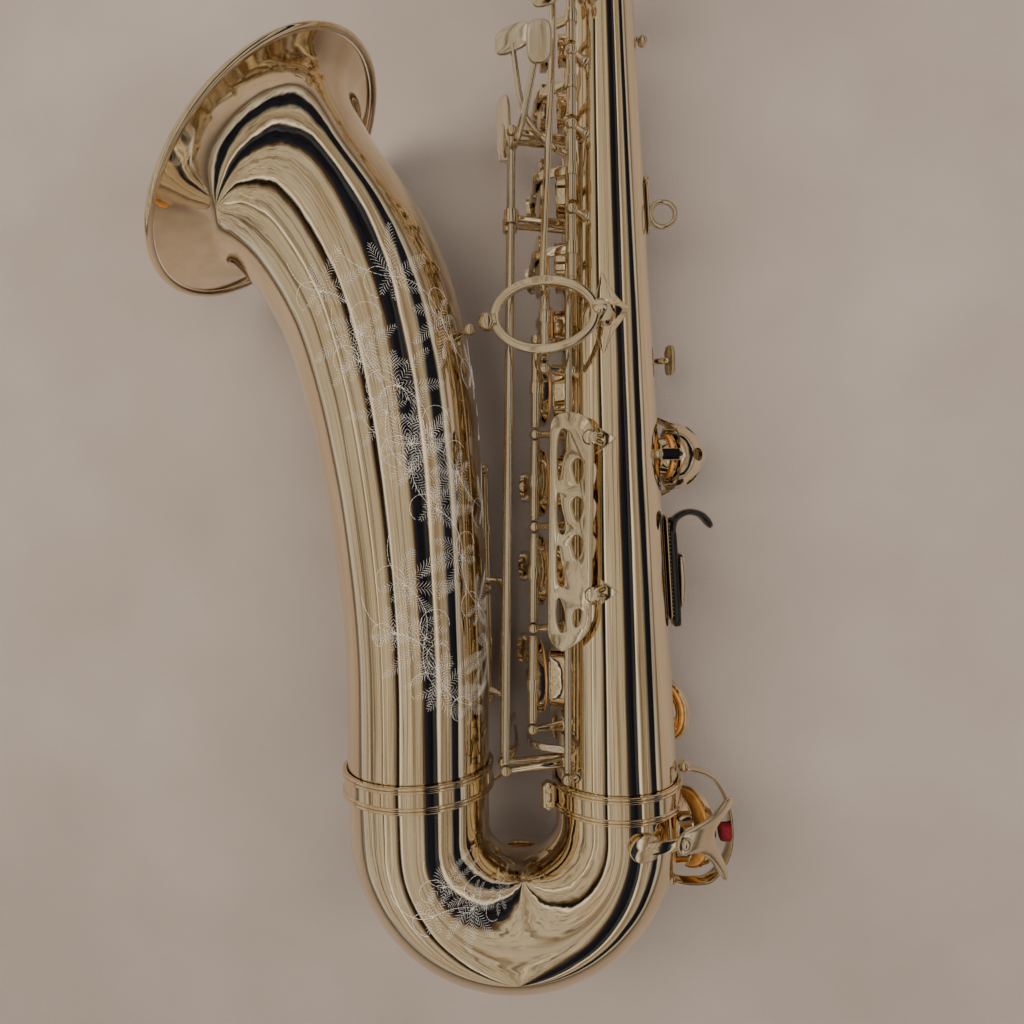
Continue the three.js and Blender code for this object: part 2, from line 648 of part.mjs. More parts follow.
// ---------- Receiver, neck and mouthpiece ----------
const RECEIVER_BASE = BODY_LENGTH - 12;
const receiverTop = RECEIVER_BASE + RECEIVER_LENGTH;
const topRadius = bodyRadius(RECEIVER_BASE);
function receiver() {
  const inner = topRadius + GAP;
  const lip = 14.2;
  const profile = [[inner, RECEIVER_BASE], [inner, BODY_LENGTH + GAP], [lip, BODY_LENGTH + 0.6],
    [lip, receiverTop], [RECEIVER_RADIUS, receiverTop], [RECEIVER_RADIUS, RECEIVER_BASE]];
  const lugs = [-1, 1].map((side) => bar(V(-15.5, 515, side * 3.4), V(-24, 515, side * 3.4), 12, 3, LEFT));
  const split = bar(V(-14, 522, 0), V(-32, 522, 0), 24, 2, LEFT);
  const screwHole = disc(V(-21, 515, -12), LEFT, 2, 30, 10);
  return cut(join(turned(profile, 20), lugs), split, screwHole);
}
addMesh("neck_receiver", receiver(), CHAMPAGNE);

const clampScrew = slideGroup(V(-21, 515, 0), LEFT);
const clampScrewBody = join(
  disc(V(-21, 515, -7), LEFT, 1.5, 14, 8),
  disc(V(-21, 515, 5.4), LEFT, 3, 3, 10),
  disc(V(-21, 515, 6), LEFT, 1.8, 13, 8),
  bar(V(-27.5, 515, 20), V(-14.5, 515, 20), 7, 2.2, UP),
);
addMesh("receiver_clamp_screw", clampScrewBody, CHAMPAGNE, clampScrew);

const NECK_END = V(158, 612, 0);
const neckEnd = V(Math.cos(rad(-22)), Math.sin(rad(-22)), 0);
const neckLine = new THREE.CatmullRomCurve3([
  V(0, BODY_LENGTH + 2, 0),
  V(0, BODY_LENGTH + 32, 0),
  V(2, BODY_LENGTH + 62, 0),
  V(18, BODY_LENGTH + 96, 0),
  V(50, BODY_LENGTH + 121, 0),
  V(88, BODY_LENGTH + 127, 0),
  ...[-48, -24, 0].map((along) => NECK_END.clone().addScaledVector(neckEnd, along)),
]);
const neckRadius = (u) => 13.4 - 6.2 * u;
const NECK_SIDES = 12;
const neckSwivel = slideGroup(V(0, receiverTop, 0), UP);
const PIP = V(98, BODY_LENGTH + 139, 0);
const NECK_PIVOT = V(45, BODY_LENGTH + 137, 0);
function neck() {
  const stations = [0, 0.15, 0.28, 0.39, 0.5, 0.61, 0.72, 1];
  const shell = sweep(neckLine, neckRadius, stations, NECK_SIDES);
  const tail = NECK_END.clone().addScaledVector(neckEnd, 2);
  const bore = sweep(neckLine, (u) => neckRadius(u) - WALL, stations, NECK_SIDES);
  const mouths = [
    rod(V(0, BODY_LENGTH - 1, 0), V(0, BODY_LENGTH + 4, 0), 12.2, 12.2, NECK_SIDES),
    rod(NECK_END.clone().addScaledVector(neckEnd, -2), tail, 6, 6, NECK_SIDES),
  ];
  const collar = turned(
    [[12.8, 0], [12.8, 5], [16.4, 5], [17, 2.5], [16.4, 0]], 20, V(0, receiverTop + GAP, 0),
  );
  const pip = disc(PIP.clone().add(V(0, -6, 0)), UP, 3.2, 6, 12);
  const pipHole = disc(PIP.clone().add(V(0, -12, 0)), UP, 1.4, 20, 8);
  const below = NECK_PIVOT.clone().add(V(1.6, -7.6, 0));
  const saddle = [-7, 7].map((z) =>
    bar(below.clone().add(V(0, 0, z)), NECK_PIVOT.clone().add(V(0, 2, z)), 5, 2, LEFT));
  const saddleBase = bar(below.clone().add(V(0, 0, -8)), below.clone().add(V(0, 0, 8)), 5, 3, UP);
  return cut(join(shell, collar, pip, saddle, saddleBase), bore, mouths, pipHole);
}
addMesh("neck", neck(), CHAMPAGNE, neckSwivel);

// Cork sleeve, mouthpiece, ligature and reed share the neck's end line.
function corkSleeve() {
  const onNeck = (along) => NECK_END.clone().addScaledVector(neckEnd, along);
  const sleeve = rod(onNeck(-42), onNeck(-0.5), 9.5, 9.1, NECK_SIDES);
  return cut(sleeve, rod(onNeck(-60), onNeck(2), 9.4, 7.8, NECK_SIDES));
}
addMesh("neck_cork", corkSleeve(), CORK, neckSwivel);

const MOUTH_LENGTH = 96;
const MOUTH_RADIUS = 12.6;
const mouthBase = NECK_END.clone().addScaledVector(neckEnd, -20);
const mouthUp = V(-neckEnd.y, neckEnd.x, 0);
const alongMouth = (distance, height = 0, side = 0) =>
  mouthBase.clone().addScaledVector(neckEnd, distance).addScaledVector(mouthUp, height).add(V(0, 0, side));
const mouthSlide = slideGroup(mouthBase, neckEnd);
function mouthpiece() {
  const barrel = rod(alongMouth(0), alongMouth(MOUTH_LENGTH), MOUTH_RADIUS, MOUTH_RADIUS - 1, 16);
  const shank = rod(alongMouth(0), alongMouth(6), MOUTH_RADIUS + 1.4, MOUTH_RADIUS + 1.4, 16);
  const bore = rod(alongMouth(-1), alongMouth(30), 10, 10, NECK_SIDES);
  const chamber = rod(alongMouth(29), alongMouth(66), 8, 6, 12);
  const beak = bar(alongMouth(58, 21.6), alongMouth(104, 10.2), 40, 20, mouthUp);
  const table = bar(alongMouth(26, -29.2), alongMouth(110, -29.2), 40, 40, mouthUp);
  const window = bar(alongMouth(58, -7), alongMouth(90, -7), 12, 12, mouthUp);
  return cut(join(barrel, shank), bore, chamber, beak, table, window);
}
addMesh("mouthpiece", mouthpiece(), EBONITE, mouthSlide);
const reedBody = cut(
  bar(alongMouth(27, -10.8), alongMouth(MOUTH_LENGTH, -10.8), 14, 2.4, mouthUp),
  bar(alongMouth(64, -18.4), alongMouth(110, -16), 30, 12, mouthUp),
);
addMesh("reed", reedBody, CANE, mouthSlide);
function ligature() {
  const profile = [[14.2, 0], [14.2, 30], [15.2, 30], [15.2, 0]];
  const sleeve = turned(profile, 16, alongMouth(30), neckEnd);
  const rail = bar(alongMouth(32, -16.8, 0), alongMouth(58, -16.8, 0), 6, 3.6, mouthUp);
  const screws = [37, 53].map((along) =>
    join(
      rod(alongMouth(along, -17, -8), alongMouth(along, -17, 12), 1.5, 1.5, 6),
      disc(alongMouth(along, -17, 11.5), LEFT, 3.6, 4, 10),
    ));
  return join(sleeve, rail, screws);
}
addMesh("ligature", ligature(), CHAMPAGNE, mouthSlide);

// ---------- Keys ----------
// A hinge group: local +Y lies on the hinge line. The key is built closed, then turned to its rest.
function hinge(from, to, openBy, restOpen, coverAt, coverFacing) {
  const axis = to.clone().sub(from).normalize();
  const group = new THREE.Group();
  group.position.copy(from);
  group.quaternion.setFromUnitVectors(UP, axis);
  group.updateMatrix();
  group.userData.closed = group.matrix.clone().invert();
  const lift = axis.clone().cross(coverAt.clone().sub(from)).dot(coverFacing) > 0 ? 1 : -1;
  if (restOpen) group.rotateY(rad(lift * openBy));
  group.userData.range = restOpen ? [0, -lift * openBy] : [0, lift * openBy];
  horn.add(group);
  return group;
}

const cupTop = CHIMNEY + GAP + PAD_THICK + CUP_THICK;
const CUP_SIDES = 12;
const padOf = (hole) => {
  const at = hole.at.clone().addScaledVector(hole.facing, CHIMNEY + GAP);
  return disc(at, hole.facing, hole.radius + 1.6, PAD_THICK, CUP_SIDES);
};
function cupOf(hole, withPad) {
  const start = withPad ? CHIMNEY + GAP : CHIMNEY + 2 * GAP + PAD_THICK;
  const at = hole.at.clone().addScaledVector(hole.facing, start);
  return disc(at, hole.facing, hole.radius + CUP_LIP, cupTop - start, CUP_SIDES);
}
const overCup = (hole, height = 1) => hole.at.clone().addScaledVector(hole.facing, cupTop + height);

// The arm from a cup to its hinge goes over the cup's edge first where the hinge lies lower.
function cupArm(hole, toHinge) {
  const middle = overCup(hole);
  const out = toHinge.clone().sub(middle);
  const drop = out.dot(hole.facing);
  const side = out.addScaledVector(hole.facing, -drop);
  const edge = hole.radius + CUP_LIP + 1.4;
  if (drop > -2 || side.length() < edge + 2) return bar(middle, toHinge, 4.6, 2.6, hole.facing);
  const knee = middle.clone().addScaledVector(side.normalize(), edge);
  const wide = side.clone().cross(hole.facing);
  return strap([middle, knee, toHinge], 4.6, 2.6, wide);
}

// The usual key: a hinge tube, an arm, a cup, and a touch at the end of a lever.
function hingedKey({ name, hole, ends, open, restOpen, touch, pad = false, extra = [] }) {
  const group = hinge(ends[0], ends[1], open, restOpen, hole.at, hole.facing);
  const middle = overCup(hole);
  const lineAt = (y) => {
    const t = THREE.MathUtils.clamp((y - ends[0].y) / (ends[1].y - ends[0].y), 0.06, 0.94);
    return ends[0].clone().lerp(ends[1], t);
  };
  const pieces = [
    rod(ends[0], ends[1], TUBE_RADIUS, TUBE_RADIUS, 6),
    cupOf(hole, !pad),
    disc(middle.clone().addScaledVector(hole.facing, -1.4), hole.facing, 3.6, 2.6, 6),
    cupArm(hole, lineAt(middle.y)),
    ...extra,
  ];
  if (touch) {
    const { at, facing, radius, from } = touch;
    pieces.push(bar(from, at.clone().addScaledVector(facing, -1), 3.6, 2.4, facing));
    pieces.push(disc(at.clone().addScaledVector(facing, -2), facing, radius, 4, 10));
  }
  addMesh(name, join(pieces), CHAMPAGNE, group);
  if (pad) addMesh(name + "_pad", padOf(hole), LEATHER, group);
}

const span = (line, from, to) => [onLine(line, from), onLine(line, to)];
const between = (line, rows, i) => span(line, rows[i] + POST_BALL + GAP, rows[i + 1] - POST_BALL - GAP);

// Right-hand stack: cups stand open, with finger touches to the right of the cups.
const pearl = (y) => ({ at: onBody(y, -36, 17), facing: outward(-30), radius: 8.5, from: onBody(y, -5, cupTop + 1) });
const RH_OPEN = 11;
const rhStack = [
  { name: "key_d", hole: holes.d, touch: pearl(62), pad: true },
  { name: "key_e", hole: holes.e, touch: pearl(107), pad: true },
  { name: "key_f", hole: holes.f, touch: pearl(150), pad: true },
  { name: "key_fs", hole: holes.fs },
];
rhStack.forEach((key, i) => {
  hingedKey({ ...key, ends: between(RH_LINE, rhPosts, i), open: RH_OPEN, restOpen: true });
});

const lhPearl = (y) => ({ at: onBody(y, -38, 15), facing: outward(-32), radius: 7.5, from: onBody(y, -5, cupTop + 1) });
const lhStack = [
  { name: "key_g", hole: holes.g, touch: lhPearl(262) },
  { name: "key_a", hole: holes.a, touch: lhPearl(300), pad: true },
  { name: "key_b", hole: holes.b, touch: lhPearl(342) },
  { name: "key_c", hole: holes.c },
];
lhStack.forEach((key, i) => {
  hingedKey({ ...key, ends: between(LH_LINE, lhPosts, i), open: 9, restOpen: true });
});

// The little finger's table: plates with their places over the body, tied by levers to long rods.
function fingerPlate(y, angle, height, long, wide) {
  const at = onBody(y, angle, height);
  const half = V(0, long / 2, 0);
  return bar(at.clone().sub(half), at.clone().add(half), wide, 2.4, outward(angle));
}
const lever = (places, facing) =>
  strap(places.map((place) => onBody(...place)), 3.4, 2.4, UP.clone().cross(facing));

hingedKey({
  name: "key_g_sharp",
  hole: holes.gs,
  ends: between(GS_LINE, GS_POSTS, 0),
  open: 9,
  restOpen: false,
  extra: [
    lever([[241, 33, 16], [243, 39, 21], [258, 43, 23.5], [376, 50, 23], [384, 53, 29]], outward(45)),
    fingerPlate(385, 54, 30, 14, 24),
  ],
});

// A long rod of the table: a plate at the top, and a link arm at the bottom that works a lower key.
function tableRod({ name, line, from, to, levers, finger, link, press }) {
  const ends = span(line, from, to);
  const touch = onBody(finger[0], finger[1], finger[2]);
  const group = hinge(ends[0], ends[1], press, false, touch, outward(finger[1]).negate());
  const start = onLine(line, link[0].y);
  const pieces = [
    rod(ends[0], ends[1], 1.8, 1.8, 6),
    lever(levers, outward(finger[1])),
    fingerPlate(...finger),
    strap([start, ...link], 3.4, 2.4, UP),
  ];
  addMesh(name, join(pieces), NICKEL, group);
}
tableRod({
  name: "low_b_rod",
  line: B_LINE,
  from: 15.6,
  to: 319.4,
  levers: [[313, 21, 30], [319, 33, 31], [346, 45, 31]],
  finger: [354, 48, 31, 20, 12],
  link: [V(-51.5, 20, 12), V(-51.5, 20, -22)],
  press: 7,
});
tableRod({
  name: "low_bb_rod",
  line: BB_LINE,
  from: 15.6,
  to: 319.4,
  levers: [[313, 9, 28], [320, -3, 31.5], [340, -8, 32]],
  finger: [338, -9, 32, 34, 13],
  link: [V(-51.5, 27, -22)],
  press: 7,
});
tableRod({
  name: "low_cs_rod",
  line: CS_LINE,
  from: 11.6,
  to: 319.4,
  levers: [[311, 42, 5.5], [312, 41, 18], [330, 24, 24], [360, 20, 29], [367, 20, 30]],
  finger: [369, 20, 30, 13, 20],
  link: [V(-40, 22, 14), V(-43, 20, -20)],
  press: 6,
});

// Bell keys: low B and low B-flat stand open on the bell's right side.
const bellEnds = (i) => [bellHinge(BELL_POSTS[i] + POST_BALL + GAP), bellHinge(BELL_POSTS[i + 1] - POST_BALL - GAP)];
const BELL_OPEN = 9;
hingedKey({
  name: "key_low_b",
  hole: holes.lowB,
  ends: bellEnds(0),
  open: BELL_OPEN,
  restOpen: true,
  pad: true,
  extra: [bar(bellHinge(35.5), V(-56, 35.5, -34), 3.6, 2.4, UP)],
});
hingedKey({
  name: "key_low_bb",
  hole: holes.lowBb,
  ends: bellEnds(1),
  open: BELL_OPEN,
  restOpen: true,
  pad: true,
  extra: [strap([bellHinge(99), V(-56.5, 97, -40), V(-56.5, 42, -38)], 3.6, 2.4, REAR)],
});

// Low C stands open behind the bow; low E-flat and low C-sharp are closed at rest.
hingedKey({
  name: "key_low_c",
  hole: holes.lowC,
  ends: span(C_LINE, -44.5, 2.4),
  open: 6.5,
  restOpen: true,
  pad: true,
  extra: [
    strap([onLine(C_LINE, -1), V(7, 0, -52), V(-22, 13, -51)], 3.6, 2.4, UP),
    fingerPlate(14, -64, 24, 16, 14),
  ],
});
hingedKey({
  name: "key_low_eb",
  hole: holes.eb,
  ends: between(EB_LINE, [6, 58], 0),
  open: 11,
  restOpen: false,
  extra: [
    bar(onLine(EB_LINE, 36), onBody(36, -66, 23), 3.6, 2.4, outward(-75)),
    fingerPlate(36, -64, 23.5, 16, 14),
  ],
});
const csAxis = LOW_CS_HINGE[1].clone().sub(LOW_CS_HINGE[0]).normalize();
hingedKey({
  name: "key_low_c_sharp",
  hole: holes.lowCs,
  ends: [
    LOW_CS_HINGE[0].clone().addScaledVector(csAxis, POST_BALL + GAP),
    LOW_CS_HINGE[1].clone().addScaledVector(csAxis, -POST_BALL - GAP),
  ],
  open: 9,
  restOpen: false,
  extra: [strap([V(-80, -21, -46), V(-62, -14, -42), V(-50, 6, -36)], 3.6, 2.4, RIGHT)],
});

// The alternate F-sharp, the side keys and the palm keys are closed at rest.
hingedKey({
  name: "key_alt_fs",
  hole: holes.altFs,
  ends: between(ALT_LINE, [146, 182], 0),
  open: 7,
  restOpen: false,
  extra: [
    bar(onLine(ALT_LINE, 158), onBody(140, -104, 17), 3.4, 2.4, outward(-110)),
    fingerPlate(134, -102, 18, 18, 8),
  ],
});
const sideKeys = [
  { name: "key_side_bb", hole: holes.sideBb, line: SIDE_BB_LINE, rows: [192, 346], finger: [202, -104, 22, 24, 9] },
  { name: "key_side_c", hole: holes.sideC, line: SIDE_C_LINE, rows: [186, 380], finger: [197, -82, 22, 22, 9] },
  { name: "key_side_e", hole: holes.sideE, line: SIDE_E_LINE, rows: [204, 431], finger: [216, -158, 15, 16, 8] },
];
for (const { name, hole, line, rows, finger } of sideKeys) {
  hingedKey({
    name,
    hole,
    ends: between(line, rows, 0),
    open: 10,
    restOpen: false,
    extra: [
      bar(onLine(line, finger[0]), onBody(finger[0], finger[1], finger[2]), 3.4, 2.4, outward(finger[1])),
      fingerPlate(...finger),
    ],
  });
}
const palmKeys = [
  { name: "key_palm_d", hole: holes.palmD, finger: [403, 40, 19, 18, 9] },
  { name: "key_palm_eb", hole: holes.palmEb, finger: [432, 40, 19, 18, 9] },
  { name: "key_palm_f", hole: holes.palmF, finger: [460, 40, 19, 18, 9] },
];
palmKeys.forEach(({ name, hole, finger }, i) => {
  hingedKey({
    name,
    hole,
    ends: between(PALM_LINE, palmPosts, i),
    open: 12,
    restOpen: false,
    extra: [
      bar(onLine(PALM_LINE, finger[0]), onBody(finger[0], finger[1], finger[2]), 3.4, 2.4, outward(55)),
      fingerPlate(...finger),
    ],
  });
});

// ---------- Octave mechanism ----------
// The lever's touch goes in towards the body and its tall arm swings out inside the neck key's ring.
const octaveFrom = OCTAVE_PIVOT.clone().add(V(0, 0, -4.4));
const octaveTo = OCTAVE_PIVOT.clone().add(V(0, 0, 4.4));
const octaveTouch = V(24.5, 430, 0);
const octaveGroup = hinge(octaveFrom, octaveTo, 5, false, octaveTouch, V(-1, 0, 0));
const octaveLever = join(
  rod(octaveFrom, octaveTo, TUBE_RADIUS, TUBE_RADIUS, 10),
  strap([octaveTouch, OCTAVE_PIVOT, V(22.6, 500, 0), V(23, 552, 0)], 5, 2.4, LEFT),
  bar(V(25, 422, 0), V(24.4, 438, 0), 11, 2.4, REAR),
);
addMesh("octave_lever", octaveLever, CHAMPAGNE, octaveGroup);

// The neck's octave key: a ring round the neck's foot, an arm over the bend, and a small pad.
const NECK_RING_Y = BODY_LENGTH + 36;
const pinFrom = NECK_PIVOT.clone().add(V(0, 0, -5.6));
const pinTo = NECK_PIVOT.clone().add(V(0, 0, 5.6));
const neckKeyGroup = hinge(pinFrom, pinTo, 4.5, false, PIP, UP);
const ringLoop = new THREE.TorusGeometry(27.5, 1.5, 4, 16).rotateX(Math.PI / 2).translate(0, NECK_RING_Y, 0);
const padLevel = PIP.y + GAP;
const neckKey = join(
  rod(pinFrom, pinTo, TUBE_RADIUS, TUBE_RADIUS, 10),
  solid(ringLoop),
  strap([V(-27.5, NECK_RING_Y, 0), V(-25, 575, 0), V(-7, 613, 0), V(18, 641, 0), NECK_PIVOT.clone(),
    V(74, padLevel + 4.4, 0), V(98, padLevel + 4.4, 0)], 5, 2.4, LEFT),
  disc(V(98, padLevel, 0), UP, 5, 4.6, 14),
);
addMesh("neck_octave_key", neckKey, CHAMPAGNE, neckKeyGroup);

export default horn;
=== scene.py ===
import json
import math
import random

import bmesh
import bpy
import numpy as np
from mathutils import Matrix, Vector

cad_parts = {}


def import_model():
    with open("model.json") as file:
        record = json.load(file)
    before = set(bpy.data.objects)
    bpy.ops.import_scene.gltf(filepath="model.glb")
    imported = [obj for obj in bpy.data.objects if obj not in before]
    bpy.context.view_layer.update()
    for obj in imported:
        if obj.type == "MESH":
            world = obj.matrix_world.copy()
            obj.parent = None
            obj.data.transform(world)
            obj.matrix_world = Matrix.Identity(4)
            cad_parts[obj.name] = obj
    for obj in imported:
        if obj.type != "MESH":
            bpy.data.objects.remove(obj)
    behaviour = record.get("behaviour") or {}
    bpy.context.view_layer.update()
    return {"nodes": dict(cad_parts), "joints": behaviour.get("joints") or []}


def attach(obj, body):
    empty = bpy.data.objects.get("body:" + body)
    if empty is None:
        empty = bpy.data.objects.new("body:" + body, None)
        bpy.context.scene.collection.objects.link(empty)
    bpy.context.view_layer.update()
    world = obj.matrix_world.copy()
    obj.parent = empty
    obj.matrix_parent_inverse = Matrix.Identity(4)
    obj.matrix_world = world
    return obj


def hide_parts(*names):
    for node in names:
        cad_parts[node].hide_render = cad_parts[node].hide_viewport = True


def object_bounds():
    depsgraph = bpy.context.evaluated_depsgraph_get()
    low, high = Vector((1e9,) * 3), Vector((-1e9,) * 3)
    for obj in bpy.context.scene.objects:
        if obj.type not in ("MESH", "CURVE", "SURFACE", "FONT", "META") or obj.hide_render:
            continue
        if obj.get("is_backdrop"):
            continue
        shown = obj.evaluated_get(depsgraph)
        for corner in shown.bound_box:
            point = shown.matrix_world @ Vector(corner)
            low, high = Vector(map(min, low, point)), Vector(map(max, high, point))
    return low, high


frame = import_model()
joints = {joint["child"]: joint for joint in frame["joints"]}
dice = random.Random(7)

# ---------- The horn's own frame, in millimetres ----------
# +Y up the body tube, +X to its back, +Z to its left side
RECEIVER_TOP = 530
MM = 0.001
horn_y = Vector(joints["neck"]["axis"]).normalized()
horn_x = Vector(joints["thumb_hook_screw"]["axis"]).normalized()
horn_z = horn_x.cross(horn_y).normalized()
origin = Vector(joints["neck"]["pos_m"]) - horn_y * RECEIVER_TOP * MM
HORN = Matrix.Translation(origin) @ Matrix((horn_x, horn_y, horn_z)).transposed().to_4x4() @ Matrix.Scale(MM, 4)

X, Y, Z = Vector((1, 0, 0)), Vector((0, 1, 0)), Vector((0, 0, 1))
V = lambda *xyz: Vector(xyz)
rad = math.radians


# ---------- Materials ----------
def new_material(name):
    mat = bpy.data.materials.new(name)
    mat.use_nodes = True
    return mat, mat.node_tree.nodes, mat.node_tree.links, mat.node_tree.nodes["Principled BSDF"]


def node_of(nodes, kind, **values):
    """A new shader node with these inputs set; an underscore in a name stands for a space."""
    node = nodes.new("ShaderNode" + kind)
    for name, value in values.items():
        node.inputs[name.replace("_", " ")].default_value = value
    return node


def coordinates(nodes, links, scale):
    where = nodes.new("ShaderNodeTexCoord")
    mapping = node_of(nodes, "Mapping", Scale=scale)
    links.new(where.outputs["Object"], mapping.inputs["Vector"])
    return mapping.outputs["Vector"]


def noise(nodes, links, scale, size=(1, 1, 1), detail=4.0):
    tex = node_of(nodes, "TexNoise", Scale=scale, Detail=detail)
    links.new(coordinates(nodes, links, size), tex.inputs["Vector"])
    return tex.outputs["Fac"]


def ramp(nodes, links, source, stops):
    node = nodes.new("ShaderNodeValToRGB")
    elements = node.color_ramp.elements
    while len(elements) < len(stops):
        elements.new(0.5)
    for element, (place, colour) in zip(elements, stops):
        element.position = place
        element.color = (*colour, 1)
    links.new(source, node.inputs["Fac"])
    return node.outputs["Color"]


def spread(nodes, links, source, low, high):
    node = node_of(nodes, "MapRange", From_Min=0.3, From_Max=0.7, To_Min=low, To_Max=high)
    links.new(source, node.inputs["Value"])
    return node.outputs["Result"]


def bump(nodes, links, shader, height, strength, distance):
    node = node_of(nodes, "Bump", Strength=strength, Distance=distance)
    links.new(height, node.inputs["Height"])
    links.new(node.outputs["Normal"], shader.inputs["Normal"])


def metal(name, pale, deep, rough, wave=0.12, drawn=0.3, grain=26):
    """Polished lacquered metal; drawn is how much its tone, haze and waviness are stretched along the horn. The
    pale-to-deep tone streaks it stretches are partly the drawn finish's own tone and partly painted reflection
    streaks.
    """
    mat, nodes, links, shader = new_material(name)
    shader.inputs["Metallic"].default_value = 1
    # Painted reflection streaks, partly the drawn finish's own tone: pale and deep base colour stretched along
    # the horn
    tone = noise(nodes, links, grain * 1.6, (1, drawn, 1))
    links.new(ramp(nodes, links, tone, [(0.3, deep), (0.7, pale)]), shader.inputs["Base Color"])
    haze = noise(nodes, links, 160, (1, drawn, 1), 6)
    links.new(spread(nodes, links, haze, *rough), shader.inputs["Roughness"])
    bump(nodes, links, shader, noise(nodes, links, grain, (1, drawn, 1), 2), wave, 0.0006)
    return mat


def soft(name, light, dark, rough, grain, depth=0.35):
    mat, nodes, links, shader = new_material(name)
    tone = noise(nodes, links, grain * 0.25)
    links.new(ramp(nodes, links, tone, [(0.32, dark), (0.68, light)]), shader.inputs["Base Color"])
    links.new(spread(nodes, links, noise(nodes, links, grain), *rough), shader.inputs["Roughness"])
    bump(nodes, links, shader, noise(nodes, links, grain * 2.2, detail=6), depth, 0.0002)
    return mat


# The body and bell metal has its tone streaks stretched most along the horn: partly the drawn finish, partly
# painted reflection streaks
champagne = metal("champagne_metal", (0.88, 0.76, 0.56), (0.76, 0.62, 0.42), (0.035, 0.08), 0.2, 0.02, 55)
bow_metal = metal("bow_metal", (0.88, 0.76, 0.56), (0.78, 0.64, 0.44), (0.035, 0.08), 0.1, 1.0, 16)
key_metal = metal("key_metal", (0.86, 0.76, 0.58), (0.7, 0.58, 0.4), (0.04, 0.1), 0.1)
rod_metal = metal("rod_metal", (0.84, 0.77, 0.63), (0.68, 0.59, 0.45), (0.06, 0.14), 0.08)
cut_metal = metal("engraved_metal", (1.0, 0.97, 0.9), (0.94, 0.89, 0.78), (0.3, 0.5), 0.3)
cut_metal.node_tree.nodes["Principled BSDF"].inputs["Metallic"].default_value = 0.5
leather = soft("amber_leather", (0.72, 0.34, 0.085), (0.52, 0.2, 0.04), (0.38, 0.55), 900)
felt = soft("red_felt", (0.16, 0.01, 0.014), (0.09, 0.005, 0.008), (0.9, 1.0), 2600, 0.9)
ebonite = soft("black_ebonite", (0.012, 0.011, 0.011), (0.006, 0.006, 0.006), (0.1, 0.18), 300, 0.03)
pearl = soft("pearl", (0.86, 0.84, 0.8), (0.7, 0.72, 0.72), (0.12, 0.2), 350, 0.05)
cane = soft("cane", (0.78, 0.62, 0.34), (0.66, 0.48, 0.22), (0.5, 0.65), 500, 0.3)
cork = soft("cork", (0.56, 0.36, 0.2), (0.36, 0.2, 0.1), (0.75, 0.95), 1200, 0.8)


# ---------- Shapes ----------
CREASE = 32
BOX_FACES = [(0, 1, 3, 2), (4, 6, 7, 5), (0, 4, 5, 1), (2, 3, 7, 6), (0, 2, 6, 4), (1, 5, 7, 3)]


class Part:
    """Closed shapes gathered in the horn's frame, in millimetres."""

    def __init__(self):
        self.verts = []
        self.faces = []

    def add(self, verts, faces):
        base = len(self.verts)
        self.verts.extend(Vector(v) for v in verts)
        self.faces.extend(tuple(i + base for i in face) for face in faces)
        return self

    def moved(self, matrix):
        self.verts = [matrix @ v for v in self.verts]
        return self


def bridge(rings, loop=False):
    """Faces between rings of vertex numbers; a ring of one number is a tip."""
    faces = []
    pairs = list(zip(rings, rings[1:]))
    if loop:
        pairs.append((rings[-1], rings[0]))
    for a, b in pairs:
        sides = max(len(a), len(b))
        for i in range(sides):
            j = (i + 1) % sides
            if len(a) == 1 and len(b) == 1:
                continue
            if len(a) == 1:
                faces.append((a[0], b[i], b[j]))
            elif len(b) == 1:
                faces.append((a[i], a[j], b[0]))
            else:
                faces.append((a[i], a[j], b[j], b[i]))
    return faces


def lathe(part, at, direction, profile, segs=32, loop=False):
    """A profile of (radius, height) turned about a line."""
    direction = Vector(direction).normalized()
    turn = direction.to_track_quat("Z", "Y")
    verts, rings = [], []
    for radius, height in profile:
        centre = Vector(at) + direction * height
        count = 1 if radius < 1e-6 else segs
        rings.append(list(range(len(verts), len(verts) + count)))
        for i in range(count):
            angle = 2 * math.pi * i / segs
            verts.append(centre + turn @ Vector((radius * math.cos(angle), radius * math.sin(angle), 0)))
    return part.add(verts, bridge(rings, loop))


def spline(points, step=1.5):
    """A smooth line through the points, as close points, evenly spaced."""
    points = [Vector(p) for p in points]
    ends = [points[0] * 2 - points[1], *points, points[-1] * 2 - points[-2]]
    dense = []
    for p0, p1, p2, p3 in zip(ends, ends[1:], ends[2:], ends[3:]):
        t = [0.0]
        for a, b in ((p0, p1), (p1, p2), (p2, p3)):
            t.append(t[-1] + max((b - a).length, 1e-4) ** 0.5)
        for k in range(24):
            s = t[1] + (t[2] - t[1]) * k / 24
            a1 = p0.lerp(p1, (s - t[0]) / (t[1] - t[0]))
            a2 = p1.lerp(p2, (s - t[1]) / (t[2] - t[1]))
            a3 = p2.lerp(p3, (s - t[2]) / (t[3] - t[2]))
            b1 = a1.lerp(a2, (s - t[0]) / (t[2] - t[0]))
            b2 = a2.lerp(a3, (s - t[1]) / (t[3] - t[1]))
            dense.append(b1.lerp(b2, (s - t[1]) / (t[2] - t[1])))
    dense.append(points[-1])
    return resample(dense, step)


def resample(points, step):
    lengths = [0.0]
    for a, b in zip(points, points[1:]):
        lengths.append(lengths[-1] + (b - a).length)
    count = max(1, round(lengths[-1] / step))
    table = np.array([tuple(p) for p in points])
    places = np.linspace(0, lengths[-1], count + 1)
    return [Vector([float(np.interp(s, lengths, table[:, k])) for k in range(3)]) for s in places]


def tangents(points):
    result = []
    for i in range(len(points)):
        a = points[max(i - 1, 0)]
        b = points[min(i + 1, len(points) - 1)]
        result.append((b - a).normalized())
    return result


